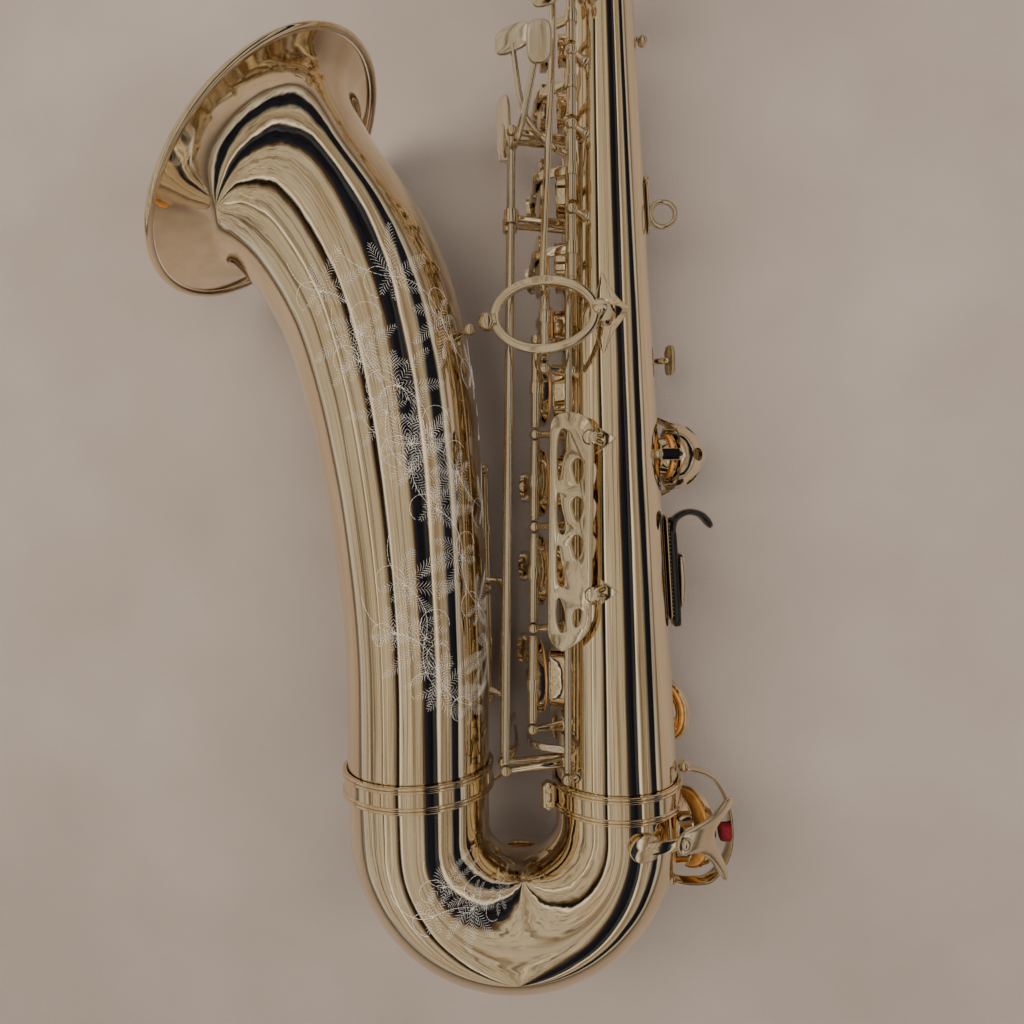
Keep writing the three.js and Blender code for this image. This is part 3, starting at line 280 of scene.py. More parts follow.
def skin(part, points, section, wide, cap=True):
    """A section of (across, through) points, or a function of 0..1 that gives one, swept along the line."""
    verts, rings = [], []
    wide = Vector(wide)
    last = len(points) - 1
    for i, (point, along) in enumerate(zip(points, tangents(points))):
        through = along.cross(wide).normalized()
        across = through.cross(along).normalized()
        outline = section(i / last) if callable(section) else section
        rings.append(list(range(len(verts), len(verts) + len(outline))))
        verts.extend(point + across * a + through * b for a, b in outline)
    faces = bridge(rings)
    if cap:
        faces.append(tuple(reversed(rings[0])))
        faces.append(tuple(rings[-1]))
    return part.add(verts, faces)


def circle(radius, segs=16):
    turns = [2 * math.pi * i / segs for i in range(segs)]
    return [(radius * math.cos(turn), radius * math.sin(turn)) for turn in turns]


def hoop(part, at, direction, radius, thick, sides, segs):
    """A round ring of round wire; thick is the wire's radius."""
    return lathe(part, at, direction, [(radius + a, b) for a, b in circle(thick, sides)], segs, loop=True)


def slab(width, thick, power=3.2, segs=20):
    """A rounded rectangular section."""
    outline = []
    for i in range(segs):
        c, s = math.cos(2 * math.pi * i / segs), math.sin(2 * math.pi * i / segs)
        fit = (abs(c) ** power + abs(s) ** power) ** (-1 / power)
        outline.append((c * fit * width / 2, s * fit * thick / 2))
    return outline


def strap(part, points, width, thick, wide, step=1.5, ends=0.55):
    """A flat bar with rounded edges and ends along a smooth line; wide is the way its width runs."""
    line = spline(points, step)

    def section(u):
        near = min(u, 1 - u) * (len(line) - 1) * step / (width * ends)
        fit = math.sqrt(max(0.12, 1 - (1 - min(1, near)) ** 2)) if near < 1 else 1
        return [(a * fit, b * (0.7 + 0.3 * fit)) for a, b in slab(width, thick)]

    return skin(part, line, section, wide)


def ball(part, at, radius, segs=20):
    profile = [(radius * math.sin(math.pi * i / 12), -radius * math.cos(math.pi * i / 12)) for i in range(13)]
    profile[0] = (0, -radius)
    profile[-1] = (0, radius)
    return lathe(part, at, Y, profile, segs)


def placed(name, data):
    """A Blender object of this data, in the scene."""
    thing = bpy.data.objects.new(name, data)
    bpy.context.scene.collection.objects.link(thing)
    return thing


def as_mesh(thing):
    """The object's shape as a mesh, its modifiers taken in."""
    bpy.context.view_layer.update()
    return bpy.data.meshes.new_from_object(thing.evaluated_get(bpy.context.evaluated_depsgraph_get()))


def cutout(part, loops, thick, at, right, up, edge=0.35):
    """A flat plate with softened edges; the first loop is its outline and the others are holes."""
    curve = bpy.data.curves.new("outline", "CURVE")
    curve.dimensions = "2D"
    curve.fill_mode = "BOTH"
    curve.extrude = thick / 2 - edge
    curve.bevel_depth = edge
    curve.bevel_resolution = 2
    curve.offset = -edge
    for loop in loops:
        poly = curve.splines.new("POLY")
        poly.points.add(len(loop) - 1)
        for point, (x, y) in zip(poly.points, loop):
            point.co = (x, y, 0, 1)
        poly.use_cyclic_u = True
    holder = placed("outline", curve)
    mesh = as_mesh(holder)
    right, up = Vector(right).normalized(), Vector(up).normalized()
    out = right.cross(up).normalized()
    at = Vector(at) + out * thick / 2
    verts = [at + right * v.co.x + up * v.co.y + out * v.co.z for v in mesh.vertices]
    part.add(verts, [tuple(f.vertices) for f in mesh.polygons])
    bpy.data.objects.remove(holder)
    bpy.data.curves.remove(curve)
    bpy.data.meshes.remove(mesh)
    return part


def ellipse(a, b, count=48):
    turns = [2 * math.pi * i / count for i in range(count)]
    return [(a * math.cos(turn), b * math.sin(turn)) for turn in turns]


def smooth_loop(points, each=8):
    """A closed smooth outline through the points."""
    flat = [Vector((x, y, 0)) for x, y in points]
    result = []
    count = len(flat)
    for i in range(count):
        p0, p1, p2, p3 = (flat[(i + k) % count] for k in (-1, 0, 1, 2))
        for k in range(each):
            t = k / each
            square, cube = 2 * p0 - 5 * p1 + 4 * p2 - p3, 3 * p1 - p0 - 3 * p2 + p3
            p = (2 * p1 + (p2 - p0) * t + square * t * t + cube * t ** 3) / 2
            result.append((p.x, p.y))
    return result


def solid_mesh(name, part, weld):
    """The gathered shapes as one mesh in metres, with every face looking out."""
    mesh = bpy.data.meshes.new(name)
    mesh.from_pydata([tuple(HORN @ v) for v in part.verts], [], part.faces)
    work = bmesh.new()
    work.from_mesh(mesh)
    if weld:
        bmesh.ops.remove_doubles(work, verts=work.verts, dist=2e-6)
    bmesh.ops.recalc_face_normals(work, faces=work.faces)
    work.to_mesh(mesh)
    work.free()
    return mesh


def piece(name, part, material, body, stands_for=(), sharp=CREASE, weld=True):
    """Makes the gathered shapes one Blender object that rides on a body."""
    mesh = solid_mesh(name, part, weld)
    mesh.polygons.foreach_set("use_smooth", [True] * len(mesh.polygons))
    mesh.set_sharp_from_angle(angle=rad(sharp))
    mesh.materials.append(material)
    thing = placed(name, mesh)
    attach(thing, body)
    if stands_for:
        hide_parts(*stands_for)
    return thing


def drilled(thing, holes_part):
    """Cuts closed shapes out of a piece."""
    drill = placed("drill", solid_mesh("drill", holes_part, False))
    cutter = thing.modifiers.new("holes", "BOOLEAN")
    cutter.object = drill
    cutter.operation = "DIFFERENCE"
    cutter.solver = "EXACT"
    cut = as_mesh(thing)
    thing.modifiers.remove(cutter)
    thing.data = cut
    bpy.data.objects.remove(drill)
    cut.set_sharp_from_angle(angle=rad(CREASE))


# ---------- Driving dimensions, the same as the CAD's ----------
WALL = 1.2
BODY_LENGTH = 512
BOW_RADIUS = 50.5
BOW_LEG = 21
BELL_X = -101
RIM_RADIUS = 77.5
RIM_BEAD = 1.9
RIM_CENTRE = V(-170, 313, 0)
BELL_TILT = rad(47.2)
RIM_AXIS = V(-math.sin(BELL_TILT), math.cos(BELL_TILT), 0)
CHIMNEY = 4.0
CUP_TOP = 10.4
POST_BALL = 3.1
GAP = 0.4


def body_radius(y):
    return 30.6 - 0.0339 * y


def outward(angle):
    return V(-math.cos(rad(angle)), 0, math.sin(rad(angle)))


def on_body(y, angle, height=0.0):
    return outward(angle) * (body_radius(y) + height) + V(0, y, 0)


def body_hole(y, angle, radius):
    return on_body(y, angle), outward(angle), radius


HOLES = {
    "key_d": body_hole(52, -5, 17),
    "key_e": body_hole(107, -5, 16),
    "key_f": body_hole(152, -5, 15),
    "key_fs": body_hole(198, -5, 14.5),
    "key_g_sharp": body_hole(231, -5, 9),
    "key_g": body_hole(262, -5, 12.5),
    "key_a": body_hole(300, -5, 13.5),
    "key_b": body_hole(342, -5, 9.5),
    "key_c": body_hole(374, -5, 7.5),
    "key_low_eb": body_hole(28, -140, 15),
    "key_alt_fs": body_hole(164, -172, 10),
    "key_side_bb": body_hole(333, -92, 9),
    "key_side_c": body_hole(366, -92, 8),
    "key_side_e": body_hole(418, -92, 7),
    "key_palm_d": body_hole(404, 105, 7.5),
    "key_palm_eb": body_hole(433, 100, 7),
    "key_palm_f": body_hole(461, 95, 6.5),
    "key_low_c": (V(29.2, -30.8, -8), V(0.959, -0.118, -0.259).normalized(), 17.5),
    "key_low_c_sharp": (V(-50.5, -72, -33.4), V(0, 0, -1), 19),
    "key_low_b": (V(-100.3, 62, -36.6), V(0, 0, -1), 23),
    "key_low_bb": (V(-102.8, 128, -37.6), V(0, 0, -1), 24),
}
ON_BOW = ("key_low_c", "key_low_c_sharp")
ON_BELL = ("key_low_b", "key_low_bb")

# The bell keys' hinge as its x and z and its posts' heights, then the low C-sharp key's and the thumb lever's.
BELL_HINGE = (-66, -46)
BELL_POSTS = (30, 93.5, 162)
BOW_HINGE = (V(-80, -76, -46), V(-80, -14, -46))
OCTAVE_PIVOT = V(body_radius(462) + 7.5, 462, 0)
# The other hinge lines: the angle round the body and the height over it.
RH_LINE = (20, 16)
LH_LINE = (54, 11)
B_LINE = (21, 30)
BB_LINE = (9, 28)
CS_LINE = (42, 5.5)
GS_LINE = (33, 16)
C_LINE = (-112, 14)
EB_LINE = (-97, 13)
ALT_LINE = (-125, 10)
PALM_LINE = (70, 9)
SIDE_BB_LINE = (-124, 7)
SIDE_C_LINE = (-50, 7)
SIDE_E_LINE = (-140, 7)
RH_POSTS = (30, 79.5, 129.5, 175, 222)
LH_POSTS = (243, 281, 322, 358, 390)
OUTER_POSTS = (12, 280.5, 323)
PALM_POSTS = (388, 418, 446.5, 474)
POST_ROWS = [
    (RH_LINE, RH_POSTS), (LH_LINE, LH_POSTS), (B_LINE, OUTER_POSTS), (BB_LINE, OUTER_POSTS),
    (CS_LINE, (8, 323)), (GS_LINE, (206, 248)), (C_LINE, (6,)), (EB_LINE, (6, 58)),
    (ALT_LINE, (146, 182)), (PALM_LINE, PALM_POSTS), (SIDE_BB_LINE, (192, 346)),
    (SIDE_C_LINE, (186, 380)), (SIDE_E_LINE, (204, 431)),
]


def on_line(line, y):
    return on_body(y, *line)


def between(line, low, high):
    return on_line(line, low + POST_BALL + GAP), on_line(line, high - POST_BALL - GAP)


# ---------- Tubes ----------
def revolve_line(part, points, outer, inner, segs=96):
    """A hollow tube along a line in the horn's own plane."""
    verts, rings = [], []
    ways = tangents(points)
    last = len(points) - 1
    order = [(i, outer) for i in range(last + 1)] + [(i, inner) for i in range(last, -1, -1)]
    for i, size in order:
        side = ways[i].cross(Z).normalized()
        radius = size(i / last)
        rings.append(list(range(len(verts), len(verts) + segs)))
        for k in range(segs):
            angle = 2 * math.pi * k / segs
            verts.append(points[i] + side * radius * math.sin(angle) + Z * radius * math.cos(angle))
    return part.add(verts, bridge(rings, loop=True))


def post(part, foot, tip):
    """A turned post: a small foot, a long cone and a ball that carries a hinge."""
    along = tip - foot
    reach = along.length
    head = 2.9
    neck = reach - head * 0.9
    profile = [
        (0, 0), (3.2, 0), (3.3, 0.5), (2.9, 1.0), (2.6, 1.7), (2.0, neck * 0.5), (1.6, neck * 0.9),
        (1.5, neck)
    ]
    for i in range(4, 13):
        angle = math.pi * i / 12
        profile.append((head * math.sin(angle), reach - head * math.cos(angle)))
    profile[-1] = (0, reach + head)
    return lathe(part, foot, along, profile, 20)


def chimney(part, hole, around, more):
    """A drawn tone hole: a short wall with a rolled top, its foot sunk into a tube of radius around."""
    at, facing, radius = hole
    deep = around - math.sqrt(around ** 2 - (radius + 1.6) ** 2) + 0.6 + more
    inside = radius - WALL
    foot = [
        (radius + 1.6, -deep), (radius + 1.2, -deep + 0.5), (radius + 0.1, -deep * 0.3 + 0.6),
        (radius, CHIMNEY - 1)
    ]
    roll = [
        (radius + 0.25, CHIMNEY - 0.6), (radius + 0.15, CHIMNEY - 0.15), (radius - 0.5, CHIMNEY),
        (inside, CHIMNEY - 0.3)
    ]
    return lathe(part, at, facing, foot + roll + [(inside, -deep)], 48, loop=True)


def tone_holes(shell, names, deep, around, more=0.0, segs=48):
    """Opens a tube at these tone holes; gives their chimneys."""
    drills, walls = Part(), Part()
    for name in names:
        at, facing, radius = HOLES[name]
        inside = radius - WALL
        lathe(drills, at, facing, [(0, -deep), (inside, -deep), (inside, 9), (0, 9)], segs)
        chimney(walls, HOLES[name], around(at.y) if callable(around) else around, more)
    drilled(shell, drills)
    return walls


def body_tube():
    part = Part()
    line = [V(0, y, 0) for y in np.linspace(0.3, BODY_LENGTH, 150)]
    outer = lambda u: body_radius(u * BODY_LENGTH)
    revolve_line(part, line, outer, lambda u: outer(u) - WALL, 120)
    shell = piece("body_shell", part, champagne, "horn", stands_for=["body_tube"])
    names = [name for name in HOLES if name not in ON_BOW + ON_BELL]
    walls = tone_holes(shell, names, 9, body_radius)
    piece("body_tone_holes", walls, champagne, "horn")
    posts = Part()
    for line_at, rows in POST_ROWS:
        for y in rows:
            post(posts, on_body(y, line_at[0], -0.8), on_line(line_at, y))
    post(posts, on_body(377, 180, -0.8), on_body(377, 180, 4))
    for side in (-8, 8):
        post(posts, on_body(OCTAVE_PIVOT.y, 180, -4) + V(0, 0, side), OCTAVE_PIVOT + V(0, 0, side))
    lathe(
        posts, on_body(231.6, 90, -1) + V(-5, 0, 0), Z,
        [(0, 0), (6.2, 0), (6.2, 1.6), (5, 3.4), (4.4, 4.4), (0, 4.4)], 28
    )
    for line_at in (B_LINE, BB_LINE):
        middle = on_line(line_at, OUTER_POSTS[1])
        ring = [(3.6, -POST_BALL), (3.8, 0), (3.6, POST_BALL), (2.2, POST_BALL), (2.2, -POST_BALL)]
        lathe(posts, middle, Y, ring, 24, loop=True)
    piece("body_posts", posts, key_metal, "horn")


body_tube()


def bow_radius(u):
    return 30.4 + 5.4 * u


def bow():
    line = [V(0, -0.3, 0), V(0, -BOW_LEG / 2, 0)]
    for i in range(41):
        turn = -math.pi * i / 40
        line.append(V(BOW_RADIUS * (math.cos(turn) - 1), BOW_RADIUS * math.sin(turn) - BOW_LEG, 0))
    line += [V(BELL_X, -BOW_LEG / 2, 0), V(BELL_X, -0.3, 0)]
    line = resample(line, 2.5)
    part = Part()
    revolve_line(part, line, bow_radius, lambda u: bow_radius(u) - WALL, 112)
    shell = piece("bow_shell", part, bow_metal, "horn", stands_for=["bow"])
    walls = tone_holes(shell, ON_BOW, 12, 34, 2)
    post(walls, V(7.5, -47, -26), on_line(C_LINE, -48))
    post(walls, V(-78, -70, -31), BOW_HINGE[0])
    post(walls, V(-84, -13, -27), BOW_HINGE[1])
    piece("bow_tone_holes", walls, champagne, "horn")


bow()

bell_points = [V(BELL_X, 0.3, 0), V(-100.3, 60, 0), V(-102.4, 115, 0), V(-105.8, 160, 0), V(-112, 205, 0),
               V(-122.5, 246, 0), V(-139, 278, 0), RIM_CENTRE - RIM_AXIS * 17, RIM_CENTRE]
bell_line = spline(bell_points, 1.6)
bell_length = sum((b - a).length for a, b in zip(bell_line, bell_line[1:]))
FLARE_RISE = RIM_RADIUS - 2 * RIM_BEAD - GAP - 46
FLARE_LENGTH = 8.5


def bell_radius(u):
    t = min(max((u * bell_length - 55) / 235, 0), 1)
    slow = 35.8 + 10.2 * t * t * (3 - 2 * t)
    return slow + FLARE_RISE * math.exp(-(1 - u) * bell_length / FLARE_LENGTH)


def bell_bore(u):
    slope = FLARE_RISE / FLARE_LENGTH * math.exp(-(1 - u) * bell_length / FLARE_LENGTH)
    return bell_radius(u) - WALL * math.hypot(1, slope)


def bell():
    part = Part()
    revolve_line(part, bell_line, bell_radius, bell_bore, 128)
    shell = piece("bell_shell", part, champagne, "horn", stands_for=["bell"])
    walls = tone_holes(shell, ON_BELL, 14, 36.5, 1, 56)
    for y in BELL_POSTS:
        post(walls, V(-81, y, -27), V(BELL_HINGE[0], y, BELL_HINGE[1]))
    piece("bell_tone_holes", walls, champagne, "horn")
    stem = Part()
    post(stem, V(-78, 222, 18), V(-68.5, 223.5, 29.5))
    lathe(
        stem, V(-78.6, 222, 17.2), V(9.5, 1.5, 11.5), [(0, 0), (6.5, 0), (6.4, 1.4), (4.2, 3.2), (0, 3.4)],
        28
    )
    piece("brace_bell_foot", stem, key_metal, "horn")
    rim = Part()
    hoop(rim, RIM_CENTRE, RIM_AXIS, RIM_RADIUS - RIM_BEAD, RIM_BEAD, 16, 144)
    piece("rim_bead", rim, champagne, "horn", stands_for=["bell_rim"])


bell()


def ferrules():
    for name, x, base, inside, height in (
        ("body_ferrule", 0, -12, 31.0, 14), ("bell_ferrule", BELL_X, -2, 36.3, 13)
    ):
        part = Part()
        outside = inside + 1.3
        profile = [(inside, 0), (outside, 0)]
        for middle in (0.9, 2.6, height - 2.6, height - 0.9):
            turns = [math.pi * i / 8 for i in range(9)]
            profile += [(outside + 0.8 * math.sin(turn), middle - 0.78 * math.cos(turn)) for turn in turns]
        profile += [(outside, height), (inside, height)]
        lathe(part, V(x, base, 0), Y, profile, 120, loop=True)
        if name == "body_ferrule":
            strap(part, [V(-35.4, -12, 8), V(-35.4, 1.6, 8)], 6.9, 7, X, ends=0.1)
            for y in (-8.6, -1.8):
                lathe(part, V(-35.4, y, 10.6), Z, [(0, 0), (1.7, 0), (1.7, 1.4), (1.2, 1.8), (0, 1.8)], 16)
        piece(name + "_beaded", part, champagne, "horn", stands_for=[name])


ferrules()


# ---------- Braces, guards and fixed fittings ----------
def wrapped(v, radius):
    """Lays a flat plate that faces left round the body tube."""
    turn = v.x / radius
    return V(v.z * math.sin(turn), v.y, v.z * math.cos(turn))


def brace():
    part = Part()
    cutout(
        part, [ellipse(25.7, 18.2, 96), ellipse(21.3, 13.8, 96)], 3, V(-33, 229, 31), V(1, 0.07, 0),
        V(-0.07, 1, 0), 0.8
    )
    lathe(part, V(-7.6, 232, 26.8), Z, [(0, 0), (3.6, 0), (3.7, 7), (3.3, 8.8), (2.2, 9.7), (0, 9.7)], 28)
    strap(part, [V(-10.6, 232, 36.2), V(-4.6, 232, 36.2)], 0.9, 1.2, Y, ends=0.1)
    ball(part, V(-60.1, 226.3, 32), 4.5, 28)
    lathe(
        part, V(-56.2, 226.9, 32.6), V(-7, -1.3, -1.2),
        [(0, -0.6), (3.2, -0.6), (3.4, 1.2), (2.6, 2), (0, 2)], 24
    )
    piece("brace_loop", part, key_metal, "horn", stands_for=["brace_ring"])
    plate = Part()
    kite = [
        (-2.7, 19.5), (0.5, 13), (5.5, 6), (10.3, 2), (6.5, -4), (1.5, -11), (-2.7, -19.5), (-6, -11),
        (-9.5, -2), (-7, 7), (-4.5, 13)
    ]
    cutout(plate, [smooth_loop(kite, 4)], 1.3, V(-2, 232, body_radius(232) - 0.2), X, Y, 0.35)
    plate.verts = [wrapped(v, body_radius(232)) for v in plate.verts]
    piece("brace_foot", plate, champagne, "horn")


brace()


def quadratic(points, a, b, c, count=10):
    for i in range(1, count + 1):
        t = i / count
        points.append(((1 - t) ** 2 * a[0] + 2 * t * (1 - t) * b[0] + t * t * c[0],
                       (1 - t) ** 2 * a[1] + 2 * t * (1 - t) * b[1] + t * t * c[1]))
    return points


def clothes_guard():
    part = Part()
    outline = [(-10, 50), (-10, -44)]
    quadratic(outline, (-10, -44), (-11, -54), (-3, -57))
    quadratic(outline, (-3, -57), (10, -50), (10, -40))
    outline.append((10, 46))
    quadratic(outline, (10, 46), (9, 56), (-2, 57))
    quadratic(outline, (-2, 57), (-10, 57), (-10, 50))
    loops = [[(x * 1.14, y) for x, y in outline[:-1]]]
    stem_side = [(-7, 12), (-5.8, 13), (-4.6, 6), (-2.4, -2), (-3.4, -6), (-5.8, -5), (-7, 1)]
    edge_side = [(0.8, 3.5), (3.4, 6.6), (6.6, 4), (6.4, -1), (4, -5.4), (2.2, -2.4)]
    openings = [
        [(-7, 44), (-5, 49), (-1.6, 47), (-1.4, 41), (-4, 35), (-5.4, 27), (-6.6, 25), (-7.4, 35)],
        *([(x, y + up) for x, up in stem_side] for y in (5, -20)),
        [(-6.6, -33), (-5, -32), (-2.6, -38), (-2, -44), (-3.8, -48), (-6, -45), (-7, -40)],
        *([(x, y + up) for x, up in edge_side] for y in (28, 10, -8)),
        [(3, -37), (6.2, -36.4), (6, -41), (3.6, -45), (2.2, -42)],
    ]
    loops += [smooth_loop(points, 5) for points in openings]
    facing = outward(58)
    cutout(part, loops, 1.8, V(-22.5, 127, 27.6), V(facing.z, 0, -facing.x), V(0.0339, 1, 0), 0.5)
    for y in (98, 171):
        foot = on_body(y, 71, GAP + 0.4)
        lathe(
            part, foot, outward(64),
            [(0, 0), (3.6, 0), (3.2, 1.2), (2.4, 9), (3.6, 10.6), (3.7, 12.2), (2.8, 13.2), (0, 13.5)], 24
        )
        cutout(
            part, [[(-1.5, -7), (8.5, 0), (-1.5, 7)]], 1, foot - outward(71) * 0.6, outward(71 - 90) * -1, Y,
            0.25
        )
    piece("leaf_guard", part, key_metal, "horn", stands_for=["clothes_guard"])


clothes_guard()


def strap_ring():
    part = Part()
    foot = on_body(292, 180, 1.0)
    lean = V(-0.0339, 1, 0).normalized()
    strap(part, [foot + V(0.4, 0, 0) - lean * 14, foot + V(0.4, 0, 0) + lean * 14], 9, 2, Z)
    hoop(part, V(foot.x + 8.6, 288, 0), Z, 6.4, 1.35, 16, 48)
    ball(part, foot + lean * 14 + V(0.8, 0, 0), 2)
    piece("strap_eye", part, key_metal, "horn", stands_for=["strap_ring"])


strap_ring()


def rail(y, height):
    return V(body_radius(y) + height, y, 0)


def thumb_parts():
    plate = Part()
    strap(plate, [rail(80, 1.3), rail(134, 1.3)], 15, 1.8, Z, ends=0.2)
    for i in range(24):
        at = rail(83 + 2 * i, 2.1)
        strap(plate, [at + V(0, 0, -6.5), at + V(0, 0, 6.5)], 1.1, 0.9, Y, ends=0.3)
    piece("thumb_hook_rail", plate, key_metal, "horn", stands_for=["thumb_hook_plate"])
    hook = Part()
    base = body_radius(104)
    slot = [(-3, -12), (-3, 4), (0, 6.2), (3, 4), (3, -12), (0, -14.2)]
    body = smooth_loop([(-6, -24), (0, -27), (6, -24), (6.2, 0), (6, 20), (0, 22), (-6, 20), (-6.2, 0)], 6)
    cutout(hook, [body, slot], 3.4, V(base + 2.7, 104, 0), V(0, 0, -1), V(-0.0339, 1, 0), 0.9)
    tip = [
        rail(121, 4.4), V(base + 5.4, 131, 0), V(base + 12, 135, 0), V(base + 19, 133.5, 0),
        V(base + 24.5, 127, 0)
    ]
    line = spline(tip, 1.0)

    def section(u):
        end = math.sqrt(max(0.05, 1 - max(0, (u - 0.86) / 0.14) ** 2))
        return [(a * end, b * (0.5 + 0.5 * end)) for a, b in slab(12, 3.4, 2.4)]

    skin(hook, line, section, Z)
    turns = [math.pi * i / 10 for i in range(11)]
    lathe(hook, rail(131, 4.6), Z, [(1.7 * math.sin(turn), -5.2 * math.cos(turn)) for turn in turns], 20)
    piece("thumb_hook_black", hook, ebonite, "thumb_hook", ["thumb_hook"])
    screw = Part()
    lathe(screw, rail(100, 2.8), X, [(0, 0), (2.3, 0), (2.3, 4.4), (0, 4.4)], 24)
    cutout(screw, [ellipse(8, 14.4, 64)], 2.7, rail(100, 6.5), V(0, 0, -1), Y, 1.1)
    piece("thumb_hook_disc", screw, key_metal, "thumb_hook_screw", stands_for=["thumb_hook_screw"])
    rest = Part()
    lathe(
        rest, on_body(410, 174, GAP + 0.3), outward(174),
        [(0, 0), (9, 0), (9, 1.6), (8, 2.8), (5, 3.5), (0, 3.6)], 40
    )
    piece("thumb_rest_button", rest, ebonite, "horn", ["thumb_rest"])


thumb_parts()
GUARD_Z = 5.0


def low_c_guard():
    part = Part()
    band = [
        (33.6, 6.5), (43.5, 3.6), (48.4, 0.2), (52.7, -6.5), (55.4, -14.3), (56.5, -24.5), (55.5, -34.7),
        (52.8, -41.5), (48.7, -47.3), (44.3, -50.7), (35, -51.6), (26.2, -50.4)
    ]
    strap(part, [V(x, y, GUARD_Z) for x, y in band], 8.5, 2, Z, step=1.0, ends=0.2)
    hub = V(27.4, -21.5, 28.2)
    across = V(27.6, 0, -20).normalized()
    facing = across.cross(Y).normalized()
    web = [
        (-5.4, 0), (-3, 4.6), (2, 5.6), (12, 6.5), (22, 8.5), (32, 13.4), (35.6, 12.6), (35.6, 9.6),
        (27, 4.4), (21, -1), (23.5, -9), (29.5, -20), (30.4, -25), (27.6, -26), (20, -16), (11, -8),
        (2, -5.6), (-3, -4.6)
    ]
    cutout(part, [smooth_loop(web, 4)], 1.8, hub, across, Y, 0.6)
    foot = V(8.5, -22.6, 30.2)
    cutout(
        part,
        [smooth_loop(
            [(-8.7, 0), (-5.5, 5), (0, 6.5), (5.5, 5), (8.7, 0), (5.5, -5), (0, -6.5), (-5.5, -5)], 5
        )],
        1.8, foot, V(0.95, 0, -0.31), Y, 0.6
    )
    strap(part, [foot + V(0, 0, 1), foot.lerp(hub, 0.5) + V(0, 0, 1.8), hub + V(0, 0, 0.6)], 6, 2.2, Y)
    lathe(
        part, hub - facing * 2.4, facing,
        [(0, 0), (2.8, 0), (3.2, 2.4), (3.2, 4.4), (2.6, 5.9), (1.4, 6.6), (0, 6.8)], 28
    )
    for end in (V(33.6, 6.5, GUARD_Z), V(26.2, -50.4, GUARD_Z)):
        ball(part, end, 3)
    piece("low_c_cage", part, key_metal, "horn", stands_for=["low_c_guard"])
    bumper = Part()
    lathe(
        bumper, V(56.2, -27, GUARD_Z), -X, [(0, 0), (4.4, 0), (4.7, 0.8), (4.6, 4.4), (4, 5.2), (0, 5.3)], 28
    )
    piece("low_c_bumper", bumper, felt, "horn", ["low_c_felt"])


low_c_guard()


def bell_guards():
    for name, low, high, reach in (("low_b", 38.2, 39, 29.6), ("low_bb", 38.8, 41.6, 31.5)):
        at = HOLES["key_" + name][0]
        part = Part()
        top = -66
        arch = [V(at.x, at.y - reach, -low), V(at.x, at.y - reach, -59), V(at.x, at.y - reach + 8, top),
                V(at.x, at.y + reach - 8, top), V(at.x, at.y + reach, -59), V(at.x, at.y + reach, -high)]
        strap(part, arch, 8, 2, X)
        lathe(
            part, V(at.x, at.y, top - 1), Z, [(0, 0), (10.4, 0), (11, 0.6), (11, 1.5), (10.4, 2), (0, 2)], 40
        )
        bumper = Part()
        lathe(bumper, V(at.x, at.y, top + 1), Z, [(0, 0), (6, 0), (6, 2), (5.4, 2.6), (0, 2.6)], 32)
        piece(name + "_arch", part, key_metal, "horn", stands_for=[name + "_guard"])
        piece(name + "_bumper", bumper, felt, "horn")


bell_guards()


def alt_guard():
    """A pierced dome over the alternate F-sharp key, on three feet."""
    at, facing = HOLES["key_alt_fs"][:2]
    side = Y.cross(facing).normalized()
    reach, rise, wall, lift = 17.6, 17, 1.6, 7
    part = Part()
    turns = [rad(7 * i) for i in range(13)]
    outer = [(reach * math.cos(turn), lift + rise * math.sin(turn)) for turn in turns]
    inner = [
        ((reach - wall) * math.cos(turn), lift + (rise - wall) * math.sin(turn))
        for turn in reversed(turns)
    ]
    lathe(part, at, facing, outer + [(0, lift + rise), (0, lift + rise - wall)] + inner, 72, loop=True)
    dome = piece("alt_fs_rosette", part, key_metal, "horn", stands_for=["alt_fs_guard"])
    spoke = lambda turn: side * math.cos(rad(turn)) + Y * math.sin(rad(turn))
    drills = Part()
    for i in range(6):
        out = spoke(60 * i)
        way = (out * 0.8 + facing * 0.6).normalized()
        start, petal = at + facing * lift + way * 9.8, ellipse(3.3, 5.2, 24)
        if i == 0:
            way, start, petal = out, at + facing * 8 + out * 12.8, ellipse(5.2, 9, 24)
        skin(drills, [start, start + way * 20], petal, out.cross(facing))
    drilled(dome, drills)
    feet = Part()
    lathe(
        feet, at + facing * (lift + rise - 1.2), facing,
        [(0, 0), (4.6, 0), (5, 0.8), (4.4, 1.8), (2.2, 2.4), (0, 2.5)], 32
    )
    for turn in (180, 80, -80):
        out = spoke(turn)
        knee = at + facing * (lift + 1.5) + out * (reach - 0.8)
        spread_foot = at + out * (reach + 3)
        flat = V(spread_foot.x, 0, spread_foot.z).normalized() * (body_radius(spread_foot.y) + 0.9)
        foot = V(flat.x, spread_foot.y, flat.z)
        strap(feet, [knee, foot], 6, 1.8, facing.cross(out), ends=0.2)
        ball(feet, foot + out, 2.4)
    piece("alt_fs_feet", feet, key_metal, "horn")


alt_guard()


def floor_guards():
    """The two guards that the horn rests on stay as the CAD has them, in the key metal."""
    for name in ("low_eb_guard", "side_key_guard"):
        node = frame["nodes"][name]
        node.data.materials.clear()
        node.data.materials.append(key_metal)


floor_guards()


# ---------- Receiver, neck and mouthpiece ----------
NECK_END = V(158, 612, 0)
NECK_WAY = V(math.cos(rad(-22)), math.sin(rad(-22)), 0)
PIP = V(98, BODY_LENGTH + 139, 0)
NECK_PIVOT = V(45, BODY_LENGTH + 137, 0)


